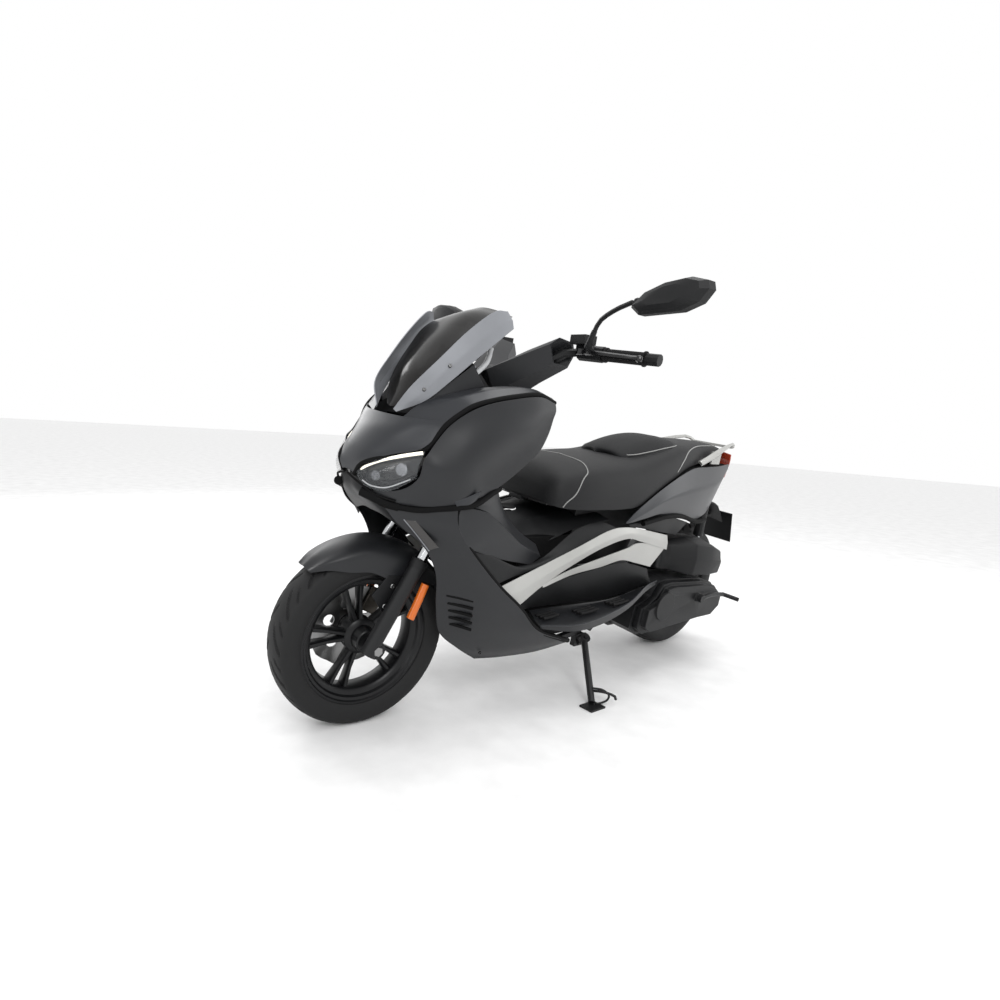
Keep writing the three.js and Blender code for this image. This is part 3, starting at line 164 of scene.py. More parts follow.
# ------------------------------------------------------------------ building
def curve_row(points, count):
    """Uniform Catmull-Rom curve through the points, as count + 1 samples."""
    p = np.asarray(points, float)
    n = len(p) - 1
    ext = np.vstack([2 * p[0] - p[1], p, 2 * p[-1] - p[-2]])
    out = []
    for i in range(count + 1):
        t = i / count * n
        k = min(int(t), n - 1)
        w = t - k
        a, b, c, d = ext[k], ext[k + 1], ext[k + 2], ext[k + 3]
        out.append(b + 0.5 * w * (c - a + w * (2 * a - 5 * b + 4 * c - d + w * (3 * (b - c) + d - a))))
    return np.array(out)


def line_row(points, count):
    """Straight runs between the points, as count + 1 samples."""
    p = np.asarray(points, float)
    t = np.linspace(0, len(p) - 1, count + 1)
    return np.stack([np.interp(t, range(len(p)), p[:, k]) for k in range(3)], 1)


def grid(rows, across, along, crisp=False, straight=False):
    """Rows of points filled in to a fine grid, with creases kept across when crisp."""
    first = line_row if crisp else curve_row
    fine = [first(r, across) for r in rows]
    second = line_row if straight else curve_row
    cols = [second([f[j] for f in fine], along) for j in range(across + 1)]
    return np.stack(cols, 1)


def full(half):
    """A row that crosses the middle, from its left half."""
    return [[x, -y, z] for x, y, z in half[:0:-1]] + [list(p) for p in half]


def flip(points):
    return [[x, -y, z] for x, y, z in points]


def flip_rows(rows):
    return [flip(r) for r in rows]


def shade(o, degrees=38):
    for f in o.data.polygons:
        f.use_smooth = True
    o.data.set_sharp_from_angle(angle=math.radians(degrees))


def link(name, verts, faces, where, material, body, replaces=(), smooth=38):
    name = name.replace(" ", "_")
    me = bpy.data.meshes.new(name)
    me.from_pydata([tuple(where @ Vector(v)) for v in verts], [], [tuple(f) for f in faces])
    me.update()
    bm = bmesh.new()
    bm.from_mesh(me)
    bmesh.ops.remove_doubles(bm, verts=bm.verts, dist=1e-6)
    bmesh.ops.recalc_face_normals(bm, faces=bm.faces)
    bm.to_mesh(me)
    bm.free()
    o = bpy.data.objects.new(name, me)
    bpy.context.scene.collection.objects.link(o)
    me.materials.append(material)
    shade(o, smooth)
    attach(o, body)
    if replaces:
        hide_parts(*replaces)
    return o


def bevel(o, width, angle=30, segments=2):
    b = o.modifiers.new("edge", "BEVEL")
    b.width = width / 1000
    b.segments = segments
    b.limit_method = "ANGLE"
    b.angle_limit = math.radians(angle)
    b.harden_normals = False
    return o


def skin(name, grids, inside, body, slot, material, replaces=(), where=BIKE, thick=3.0, edge=0.9,
         smooth=38):
    """One or more curved sheets with a thickness that grows inwards, away from the eye."""
    verts, faces = [], []
    for g in grids:
        h, w = g.shape[:2]
        base = len(verts)
        middle = g[h // 2, w // 2]
        normal = np.cross(middle - g[h // 2 - 1, w // 2], middle - g[h // 2, w // 2 - 1])
        mean = g.reshape(-1, 3).mean(0)
        turn = np.dot(normal, mean - np.asarray(inside, float)) > 0
        gu = np.gradient(g, axis=0)
        gv = np.gradient(g, axis=1)
        nn = np.cross(gu, gv)
        nn /= np.linalg.norm(nn, axis=2, keepdims=True) + 1e-9
        if not turn:
            nn = -nn
        back = g - nn * thick
        verts += [tuple(p) for p in g.reshape(-1, 3)] + [tuple(p) for p in back.reshape(-1, 3)]
        lay = h * w
        at = lambda i, j: base + i * w + j
        for i in range(h - 1):
            for j in range(w - 1):
                faces.append((at(i, j), at(i + 1, j), at(i + 1, j + 1), at(i, j + 1)))
                faces.append((at(i, j) + lay, at(i, j + 1) + lay, at(i + 1, j + 1) + lay,
                              at(i + 1, j) + lay))
        for i in range(h - 1):
            for j in (0, w - 1):
                faces.append((at(i, j), at(i + 1, j), at(i + 1, j) + lay, at(i, j) + lay))
        for j in range(w - 1):
            for i in (0, h - 1):
                faces.append((at(i, j), at(i, j + 1), at(i, j + 1) + lay, at(i, j) + lay))
    o = link(name, verts, faces, where, material, body, replaces, smooth)
    if edge:
        bevel(o, edge, 50)
    return o


def skin_pair(name, rows, inside, body, slot, material, node=None, across=14, along=44, crisp=False,
              **more):
    x, y, z = inside
    for side in ("left", "right"):
        s = 1 if side == "left" else -1
        r = rows if s == 1 else flip_rows(rows)
        skin(f"{name} {side}", [grid(r, across, along, crisp)], (x, s * y, z), body, slot, material,
             (f"{node}_{side}",) if node else (), **more)


def tube(name, points, radius, body, slot, material, where=BIKE, sides=14, steps=40, replaces=(),
         straight=False, end=None):
    pts = (line_row if straight else curve_row)(points, steps if not straight else len(points) - 1)
    verts, faces = [], []
    n = len(pts)
    tangents = np.gradient(pts, axis=0)
    tangents /= np.linalg.norm(tangents, axis=1, keepdims=True)
    ref = np.array([0.13, 0.31, 0.94])
    up = ref - tangents[0] * ref.dot(tangents[0])
    for i, p in enumerate(pts):
        t = tangents[i]
        up = up - t * up.dot(t)
        up /= np.linalg.norm(up)
        side = np.cross(t, up)
        r = radius if end is None else radius + (end - radius) * i / (n - 1)
        for k in range(sides):
            a = 2 * math.pi * k / sides
            verts.append(tuple(p + r * (math.cos(a) * up + math.sin(a) * side)))
    for i in range(n - 1):
        for k in range(sides):
            a, b = i * sides + k, i * sides + (k + 1) % sides
            faces.append((a, b, b + sides, a + sides))
    faces.append(tuple(range(sides))[::-1])
    faces.append(tuple(range((n - 1) * sides, n * sides)))
    return link(name, verts, faces, where, material, body, replaces, 50)


def tube_pair(name, points, radius, body, slot, material, **more):
    tube(f"{name} left", points, radius, body, slot, material, **more)
    tube(f"{name} right", flip(points), radius, body, slot, material, **more)


def turned(name, profile, centre, body, material, where=BIKE, segments=96, replaces=(), axis="Y",
           smooth=30):
    """A body of revolution from (radius, along) pairs, closed on itself."""
    verts, faces = [], []
    n = len(profile)
    for k in range(segments):
        a = 2 * math.pi * k / segments
        for r, y in profile:
            if axis == "Y":
                verts.append((centre[0] + r * math.sin(a), centre[1] + y, centre[2] + r * math.cos(a)))
            else:
                verts.append((centre[0] + r * math.cos(a), centre[1] + r * math.sin(a), centre[2] + y))
    for k in range(segments):
        for i in range(n):
            a, b = k * n + i, k * n + (i + 1) % n
            c, d = ((k + 1) % segments) * n + (i + 1) % n, ((k + 1) % segments) * n + i
            faces.append((a, b, c, d))
    return link(name, verts, faces, where, material, body, replaces, smooth)


def plate(name, outline, y0, y1, body, material, where=BIKE, edge=1.2, replaces=()):
    n = len(outline)
    verts = [(x, y0, z) for x, z in outline] + [(x, y1, z) for x, z in outline]
    faces = [tuple(range(n)), tuple(range(n, 2 * n))[::-1]]
    faces += [(i, (i + 1) % n, n + (i + 1) % n, n + i) for i in range(n)]
    o = link(name, verts, faces, where, material, body, replaces, 25)
    return bevel(o, edge) if edge else o


def block(name, centre, size, body, material, where=BIKE, edge=1.5, turn=None):
    m = (turn or Matrix.Identity(3))
    verts = []
    for i in range(8):
        v = Vector([size[k] / 2 * (1 if i >> k & 1 else -1) for k in range(3)])
        verts.append(tuple(m @ v + Vector(centre)))
    faces = [(0, 2, 3, 1), (4, 5, 7, 6), (0, 1, 5, 4), (2, 6, 7, 3), (0, 4, 6, 2), (1, 3, 7, 5)]
    o = link(name, verts, faces, where, material, body, (), 25)
    return bevel(o, edge, segments=3) if edge else o


def bolt(name, at, normal, radius, body, material, where=BIKE, height=3.0, hexed=False):
    """A screw head with a socket, standing on a surface."""
    n = Vector(normal).normalized()
    q = Vector((0, 0, 1)).rotation_difference(n).to_matrix()
    sides = 6 if hexed else 20
    rings = [(radius, -2.0), (radius, height * 0.6), (radius * 0.82, height), (radius * 0.45, height),
             (radius * 0.42, height * 0.35)]
    verts, faces = [], []
    for r, h in rings:
        for k in range(sides):
            a = 2 * math.pi * k / sides
            verts.append(tuple(q @ Vector((r * math.cos(a), r * math.sin(a), h)) + Vector(at)))
    for i in range(len(rings) - 1):
        for k in range(sides):
            a, b = i * sides + k, i * sides + (k + 1) % sides
            faces.append((a, b, b + sides, a + sides))
    faces.append(tuple(range(sides))[::-1])
    faces.append(tuple(range((len(rings) - 1) * sides, len(rings) * sides)))
    return link(name, verts, faces, where, material, body, (), 35)


def softened(node, body, material, edge=1.5, angle=28, smooth=30):
    """The part's own solid with rounded edges."""
    src = frame["nodes"][node]
    me = src.data.copy()
    me.transform(src.matrix_world)
    me.materials.clear()
    bm = bmesh.new()
    bm.from_mesh(me)
    bmesh.ops.remove_doubles(bm, verts=bm.verts, dist=2e-6)
    bmesh.ops.dissolve_limit(bm, angle_limit=math.radians(1.2), verts=bm.verts, edges=bm.edges)
    bm.to_mesh(me)
    bm.free()
    o = bpy.data.objects.new(f"{node}_look", me)
    bpy.context.scene.collection.objects.link(o)
    me.materials.append(material)
    shade(o, smooth)
    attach(o, body)
    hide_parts(node)
    return bevel(o, edge, angle)


# ------------------------------------------------------------------ control rows
# Each panel is a list of rows of points on its left half, unless it crosses the middle.
NOSE = [
  [[93, -30, 706], [94, -12, 711], [94, 12, 711], [93, 30, 706]],
  [[90, -58, 736], [92, -22, 733], [92, 22, 733], [90, 58, 736]],
  [[45, -106, 768], [73, -42, 772], [73, 42, 772], [45, 106, 768]],
  [[-10, -158, 794], [40, -62, 814], [40, 62, 814], [-10, 158, 794]],
  [[-44, -182, 846], [14, -78, 842], [14, 78, 842], [-44, 182, 846]],
  [[-58, -188, 864], [0, -82, 858], [0, 82, 858], [-58, 188, 864]],
]
NOSE_ARM = [
  [[-2, 66, 852], [-30, 130, 858], [-54, 187, 860]],
  [[-40, 92, 896], [-66, 150, 900], [-96, 199, 898]],
  [[-95, 124, 925], [-112, 168, 928], [-136, 204, 916]],
  [[-175, 142, 948], [-190, 176, 950], [-206, 206, 934]],
  [[-300, 152, 962], [-306, 180, 962], [-316, 199, 950]],
  [[-396, 160, 944], [-402, 172, 944], [-406, 184, 936]],
]
SHOULDER = [
  [[68, 76, 672], [42, 108, 655], [18, 134, 652]],
  [[26, 142, 690], [4, 160, 668], [-20, 170, 656]],
  [[4, 176, 724], [-30, 194, 700], [-66, 190, 660]],
  [[2, 187, 766], [-52, 210, 724], [-105, 205, 668]],
  [[-14, 182, 790], [-80, 226, 750], [-160, 207, 682]],
  [[-52, 188, 848], [-120, 233, 790], [-224, 190, 694]],
  [[-92, 202, 886], [-170, 236, 820], [-290, 182, 728]],
  [[-140, 209, 910], [-226, 234, 846], [-338, 182, 764]],
  [[-210, 212, 928], [-284, 228, 868], [-376, 186, 802]],
  [[-320, 205, 944], [-344, 214, 900], [-394, 190, 850]],
  [[-400, 190, 931], [-400, 196, 912], [-402, 190, 892]],
]
LAMP = [
  [[91, 44, 720], [92, 46, 708], [88, 50, 696]],
  [[70, 86, 750], [82, 84, 714], [74, 80, 680]],
  [[30, 134, 774], [54, 128, 730], [40, 124, 684]],
  [[-8, 174, 790], [8, 178, 756], [0, 168, 724]],
]
FAIRING = [
  [[44, 110, 641], [-20, 164, 648], [-70, 188, 654], [-106, 205, 659]],
  [[10, 131, 601], [-40, 172, 606], [-78, 198, 610], [-113, 212, 613]],
  [[-60, 156, 545], [-96, 182, 550], [-128, 204, 552], [-158, 219, 552]],
  [[-103, 164, 473], [-150, 196, 470], [-200, 220, 462], [-264, 235, 449]],
  [[-122, 160, 386], [-190, 196, 388], [-262, 226, 384], [-352, 244, 379]],
  [[-157, 149, 299], [-230, 180, 300], [-320, 212, 302], [-432, 246, 306]],
  [[-230, 148, 240], [-310, 172, 232], [-420, 200, 236], [-560, 234, 252]],
  [[-308, 144, 190], [-400, 158, 186], [-520, 182, 194], [-652, 196, 212]],
]
SHIELD = [
  [[-260, -168, 712], [-330, -80, 742], [-352, 0, 752], [-330, 80, 742], [-260, 168, 712]],
  [[-282, -166, 668], [-336, -80, 682], [-352, 0, 686], [-336, 80, 682], [-282, 166, 668]],
  [[-322, -158, 622], [-350, -80, 630], [-360, 0, 632], [-350, 80, 630], [-322, 158, 622]],
  [[-384, -150, 574], [-378, -80, 590], [-376, 0, 594], [-378, 80, 590], [-384, 150, 574]],
]
ARCH = [
  [[-262, 170, 700], [-200, 190, 676], [-130, 202, 668]],
  [[-284, 166, 664], [-262, 188, 648], [-206, 208, 646]],
  [[-330, 158, 616], [-312, 184, 602], [-286, 206, 596]],
  [[-392, 152, 570], [-374, 178, 556], [-356, 200, 550]],
  [[-470, 150, 528], [-466, 166, 516], [-458, 184, 506]],
]
TUNNEL_SIDE = [
  [[-172, 208, 544], [-208, 214, 508], [-268, 218, 450]],
  [[-240, 206, 532], [-300, 214, 500], [-334, 216, 466]],
  [[-335, 200, 490], [-380, 210, 486], [-414, 216, 480]],
  [[-456, 190, 498], [-490, 204, 506], [-520, 213, 508]],
  [[-600, 176, 570], [-630, 196, 558], [-650, 206, 552]],
  [[-714, 172, 594], [-736, 190, 588], [-760, 202, 580]],
]
TRIM_UPPER = [
  [[-278, 224, 443], [-306, 228, 404], [-352, 226, 375]],
  [[-413, 229, 490], [-425, 233, 462], [-445, 226, 432]],
  [[-560, 230, 538], [-556, 234, 512], [-560, 226, 484]],
  [[-700, 222, 578], [-690, 228, 550], [-690, 220, 524]],
  [[-790, 216, 583], [-800, 222, 562], [-810, 216, 544]],
  [[-900, 208, 568], [-905, 212, 548], [-905, 208, 526]],
  [[-1060, 199, 538], [-1070, 201, 510], [-1080, 197, 484]],
]
TRIM_LOWER = [
  [[-436, 226, 436], [-448, 226, 425]],
  [[-560, 222, 466], [-574, 216, 447]],
  [[-700, 220, 492], [-706, 212, 458]],
  [[-820, 214, 510], [-814, 207, 470]],
  [[-900, 206, 522], [-905, 202, 452]],
  [[-1076, 196, 500], [-1004, 196, 428]],
]
SIDE_COVER = [
  [[-372, 212, 366], [-400, 192, 350], [-448, 166, 334]],
  [[-470, 206, 420], [-520, 188, 380], [-545, 168, 334]],
  [[-620, 202, 440], [-640, 192, 380], [-660, 176, 334]],
  [[-815, 199, 458], [-816, 194, 396], [-818, 186, 336]],
  [[-905, 195, 444], [-915, 193, 392], [-930, 188, 350]],
  [[-1000, 190, 420], [-1018, 190, 392], [-1040, 190, 368]],
]
FOOT = [
  [[-474, 168, 328], [-456, 208, 322], [-450, 238, 314], [-458, 236, 302]],
  [[-545, 170, 328], [-548, 220, 325], [-552, 276, 318], [-556, 272, 296]],
  [[-660, 178, 328], [-664, 230, 332], [-666, 282, 330], [-670, 276, 300]],
  [[-818, 188, 330], [-814, 236, 344], [-806, 272, 354], [-806, 268, 328]],
  [[-940, 190, 346], [-930, 226, 368], [-916, 250, 388], [-920, 248, 366]],
  [[-1040, 191, 362], [-1036, 204, 372], [-1030, 214, 382], [-1032, 214, 368]],
]
TAIL = [
  [[-806, 201, 592], [-812, 202, 590], [-820, 200, 588]],
  [[-872, 197, 637], [-890, 202, 618], [-915, 197, 602]],
  [[-1019, 178, 701], [-1020, 196, 664], [-1035, 186, 610]],
  [[-1200, 153, 757], [-1190, 178, 690], [-1245, 162, 572]],
  [[-1330, 138, 764], [-1330, 158, 700], [-1370, 140, 582]],
  [[-1440, 122, 766], [-1450, 134, 712], [-1459, 112, 609]],
  [[-1556, 98, 772], [-1556, 98, 752], [-1550, 92, 712]],
]
BELLY = [
  [[-838, 192, 582], [-846, 192, 576]],
  [[-960, 184, 588], [-975, 182, 556]],
  [[-1040, 178, 596], [-1080, 172, 538]],
  [[-1140, 168, 586], [-1150, 162, 526]],
  [[-1246, 156, 564], [-1180, 160, 520]],
]
# Rings of the seat: x, half width, lower edge, crown.
SEAT = [[-509, 84, 646, 672], [-514, 118, 642, 700], [-532, 150, 637, 727], [-562, 166, 634, 746],
        [-610, 178, 633, 759], [-660, 184, 633, 768], [-720, 187, 633, 774], [-790, 188, 633, 779],
        [-870, 188, 640, 784], [-940, 181, 668, 794],
        [-1030, 168, 704, 812], [-1110, 156, 732, 828], [-1196, 138, 758, 840], [-1330, 106, 774, 844],
        [-1470, 84, 784, 841], [-1560, 56, 792, 828]]
TAIL_LAMP = [
  [[-1568, -92, 808], [-1586, -40, 814], [-1590, 0, 815], [-1586, 40, 814], [-1568, 92, 808]],
  [[-1568, -94, 774], [-1588, -40, 776], [-1592, 0, 776], [-1588, 40, 776], [-1568, 94, 774]],
  [[-1562, -90, 716], [-1574, -40, 716], [-1578, 0, 716], [-1574, 40, 716], [-1562, 90, 716]],
]
UNDER_HALF = [
  [[84, 0, 700], [84, 36, 699], [66, 72, 669]],
  [[80, 0, 670], [76, 40, 664], [40, 102, 640]],
  [[44, 0, 634], [38, 48, 628], [8, 128, 606]],
  [[8, 0, 604], [0, 52, 600], [-30, 138, 572]],
]
SCREEN_HALF = [
  [[-10, 0, 874], [-14, 18, 876], [-22, 36, 880]],
  [[-34, 0, 918], [-40, 44, 920], [-52, 84, 926]],
  [[-58, 0, 968], [-66, 56, 970], [-84, 106, 976]],
  [[-98, 0, 1020], [-106, 66, 1020], [-126, 122, 1030]],
  [[-144, 0, 1074], [-152, 70, 1072], [-172, 134, 1084]],
  [[-206, 0, 1130], [-212, 74, 1124], [-228, 142, 1118]],
  [[-262, 0, 1154], [-264, 60, 1146], [-270, 112, 1132]],
]

# ------------------------------------------------------------------ body panels
CORE = (-260, 0, 640)  # a point well inside the front body
skin("nose", [grid(NOSE, 40, 40)], CORE, "chassis", "gunmetal_panel", GUNMETAL, ("nose_panel",))
for s in (1, -1):
    arm = NOSE_ARM if s == 1 else flip_rows(NOSE_ARM)
    skin(f"nose arm {s}", [grid(arm, 12, 50, crisp=True)], (-160, 120 * s, 800), "chassis",
         "gunmetal_panel", GUNMETAL)
skin_pair("side panel", SHOULDER, (-180, 100, 780), "chassis", "charcoal_panel", CHARCOAL, "side_panel",
          across=20, along=60)
skin_pair("lamp lens", LAMP, (-60, 60, 730), "chassis", "clear_lens", CLEAR, "headlight_lens", thick=2)
softened("headlight_housing", "chassis", GLOSS, 1)
skin("under nose", [grid([full(r) for r in UNDER_HALF], 32, 24)], (-80, 0, 740), "chassis",
     "black_plastic", BLACK, ("under_nose",))
SCREEN = [full(r) for r in SCREEN_HALF]
skin("screen", [grid(SCREEN, 40, 60)], (-300, 0, 950), "chassis", "smoked_screen", SMOKE,
     ("windscreen",), thick=3)
WING = [[[7, 40, 870], [4, 44, 867], [2, 48, 864]],
        [[-7, 84, 931], [-28, 96, 916], [-44, 98, 900]],
        [[-63, 108, 1005], [-82, 122, 980], [-90, 125, 952]],
        [[-123, 124, 1076], [-140, 138, 1042], [-143, 142, 1009]],
        [[-181, 140, 1129], [-198, 151, 1098], [-201, 155, 1066]],
        [[-214, 152, 1136], [-226, 162, 1116], [-230, 166, 1097]]]
skin_pair("screen trim", WING, (-240, 0, 950), "chassis", "silver_trim", PALE, "screen_trim", across=12,
          along=50, crisp=True, smooth=14)
DEFLECTOR = [[[-30, 78, 892], [-40, 92, 880]], [[-90, 116, 946], [-110, 128, 904]],
             [[-150, 134, 1000], [-196, 136, 946]]]
skin_pair("screen deflector", DEFLECTOR, (-240, 0, 900), "chassis", "charcoal_panel", CHARCOAL,
          across=6, along=24)
BRACE = [[[-60, 98, 908], [-70, 106, 922]], [[-160, 126, 956], [-162, 128, 1000]]]
skin_pair("screen brace", BRACE, (-160, 0, 900), "chassis", "silver_trim", PALE, across=6, along=16)
skin_pair("fairing", FAIRING, (-330, 40, 430), "chassis", "charcoal_panel", CHARCOAL, "front_fairing",
          across=20, along=60)
skin("shield", [grid(SHIELD, 30, 24)], (-180, 0, 600), "chassis", "charcoal_panel", CHARCOAL,
     ("inner_shield",))
skin_pair("arch", ARCH, (-330, 90, 560), "chassis", "charcoal_panel", CHARCOAL)
softened("center_tunnel", "chassis", BLACK, 1.2)
softened("fuel_flap", "fuel_door", BLACK, 1)
for s in ("left", "right"):
    k = 1 if s == "left" else -1
    f = (lambda r: r) if k == 1 else flip_rows
    skin(f"silver trim {s}", [grid(f(TRIM_UPPER), 10, 60, crisp=True),
         grid(f(TRIM_LOWER), 6, 50, crisp=True)], (-640, 60 * k, 480), "chassis", "silver_trim", SILVER,
         (f"side_trim_{s}",), thick=4)
    skin(f"side cover {s}", [grid(f(TUNNEL_SIDE), 10, 44), grid(f(SIDE_COVER), 12, 44),
         grid(f(BELLY), 8, 30)], (-640, 60 * k, 460), "chassis", "black_plastic", BLACK,
         (f"side_cover_{s}",))
    skin(f"footboard {s}", [grid(f(FOOT), 16, 50, crisp=True)], (-700, 150 * k, 200), "chassis",
         "black_plastic", CHARCOAL, (f"footboard_{s}",), thick=4)
    skin(f"tail {s}", [grid(f(TAIL), 14, 56, crisp=True)], (-1150, 40 * k, 660), "chassis",
         "gunmetal_panel", GUNMETAL, (f"tail_panel_{s}",))
softened("instrument_panel", "chassis", BLACK, 1)
softened("storage_bucket", "chassis", BLACK, 1)
softened("grab_rail", "chassis", SILVER, 2)
skin("tail lamp", [grid(TAIL_LAMP, 30, 16)], (-1400, 0, 750), "chassis", "red_lens", RED,
     ("tail_lamp",), thick=4)
softened("plate_holder", "chassis", BLACK, 1.2)
softened("frame", "chassis", CAST, 1.5)

# Painted shade: near-black backing behind the seams and under the tail, so no daylight shows through
# the body and its gaps and hollows read as shaded.
DECK = [[[x, 0.97 * y, z - 5], [x, 0, z - 3], [x, -0.97 * y, z - 5]] for (x, y, z), *_ in TAIL[1:]]
skin("tail deck", [grid(DECK, 12, 50)], (-1150, 0, 300), "chassis", "black_plastic", PAINTED_SHADE, thick=3)
block("front core", (-136, 0, 752), (120, 230, 196), "chassis", PAINTED_SHADE)
block("belly core", (-632, 0, 262), (390, 280, 100), "chassis", PAINTED_SHADE)
block("tunnel core", (-528, 0, 452), (240, 290, 190), "chassis", PAINTED_SHADE)
SEAM_A = [(88, 28, 704), (84, 58, 738), (36, 108, 765), (-18, 160, 790), (-50, 181, 852),
          (-88, 192, 888), (-120, 198, 908), (-176, 202, 925), (-240, 202, 938), (-325, 195, 948),
          (-404, 181, 932)]
SEAM_C = [(18, 130, 646), (-20, 164, 647), (-70, 187, 655), (-106, 203, 661), (-160, 206, 668),
          (-222, 190, 690), (-262, 176, 700)]
FILL = [[[-118, 204, 664], [-111, 209, 640]], [[-206, 209, 645], [-116, 212, 606]],
        [[-260, 208, 612], [-150, 217, 560]], [[-320, 204, 572], [-200, 210, 540]],
        [[-380, 198, 538], [-290, 204, 512]], [[-462, 184, 504], [-410, 196, 486]]]
skin_pair("flank fill", FILL, (-250, 60, 560), "chassis", "charcoal_panel", CHARCOAL, across=8,
          along=40)
UNDER_SEAM = [(-56, 176, 850), (-92, 188, 877), (-130, 195, 896), (-170, 199, 910), (-215, 201, 921),
              (-265, 200, 929), (-320, 194, 936)]
# Painted shade: near-black tubes along the panel seams, under the chin and along the fairing's rear
# edge, for the shade in the gaps.
tube_pair("seam backing", UNDER_SEAM, 10, "chassis", "black_plastic", PAINTED_SHADE, steps=50)
CHIN_SEAM = [(82, 58, 668), (62, 84, 660), (40, 106, 650), (14, 130, 646)]
tube_pair("chin backing", CHIN_SEAM, 12, "chassis", "black_plastic", PAINTED_SHADE, steps=24)
tube_pair("seam over", SEAM_A, 6.5, "chassis", "black_plastic", PAINTED_SHADE, steps=70)
tube_pair("seam under", SEAM_C, 8.5, "chassis", "black_plastic", PAINTED_SHADE, steps=50)
REAR_EDGE = [(r[-1][0] - 3, r[-1][1] - 9, r[-1][2]) for r in FAIRING]
tube_pair("fairing edge", REAR_EDGE, 8, "chassis", "black_plastic", PAINTED_SHADE, steps=50)
# Painted shade: a near-black strip under the footboard's inner edge, where shade falls.
PAN = [[[r[0][0], r[0][1] - 34, r[0][2] - 3], [r[0][0], r[0][1] + 14, r[0][2] - 5]] for r in FOOT]
skin_pair("floor pan", PAN, (-700, 150, 100), "chassis", "black_plastic", PAINTED_SHADE, across=4, along=40)
# Painted highlight: a thin lighter line along the footboard's outer top edge, where light catches it.
EDGE_HIGHLIGHT_LINE = [(x, y + 1, z + 1) for _, _, (x, y, z), _ in FOOT]
tube_pair("board edge highlight", EDGE_HIGHLIGHT_LINE, 2.0, "chassis", "charcoal_panel", GUNMETAL, steps=60, sides=8)

# ------------------------------------------------------------------ headlight detail
def lamp_point(u, v, back=0):
    """A point behind the lens: u from its top to its bottom edge, v from nose to flank."""
    across, along = 20, 40
    p = grid(LAMP, across, along)[int(v * along), int(u * across)]
    return [p[0] - back, p[1] - back * 0.5, p[2]]


for s in ("left", "right"):
    m = (lambda pts: pts) if s == "left" else flip
    top = [lamp_point(0.06, v, 9) for v in (0.04, 0.2, 0.4, 0.6, 0.8, 0.96)]
    tube(f"led strip {s}", m(top), 4.2, "chassis", "clear_lens", LED, sides=12)
    low = [lamp_point(0.92, v, 6) for v in (0.1, 0.35, 0.6, 0.9)]
    tube(f"lamp edge {s}", m(low), 1.8, "chassis", "clear_lens", WHITE, sides=10)
    for i, (u, v, r) in enumerate([(0.55, 0.42, 12), (0.5, 0.78, 15)]):
        c = m([lamp_point(u, v, 17)])[0]
        k = 1 if s == "left" else -1
        aim = Vector((0.86, 0.5 * k, 0.05)).normalized()
        a = Vector(c)
        tube(f"reflector {s} {i}", [a - aim * 9, a, a + aim * 2], r * 0.5, "chassis",
             "clear_lens", REFLECTOR, sides=28, steps=4, end=r)
    # Painted shade: a near-black strip along the seam under the headlight.
    low = [[96, 8, 703], [90, 50, 690], [62, 92, 668], [28, 132, 660]]
    tube(f"chin strip {s}", m(low), 3, "chassis", "black_plastic", PAINTED_SHADE)

# ------------------------------------------------------------------ body detail
VENT_TOP = [(-126, 166, 462), (-132, 170, 440), (-140, 172, 418), (-148, 172, 396), (-156, 170, 374),
            (-164, 168, 352), (-174, 164, 330)]
# Each screw: where it stands and which way it faces.
PANEL_SCREWS = [((-300, 171, 224), (0.2, 0.9, -0.3)), ((-34, 101, 927), (0.5, 0.8, 0.3)),
                ((-84, 124, 990), (0.5, 0.8, 0.3)), ((-532, 108, 636), (0.2, 0.3, 1))]
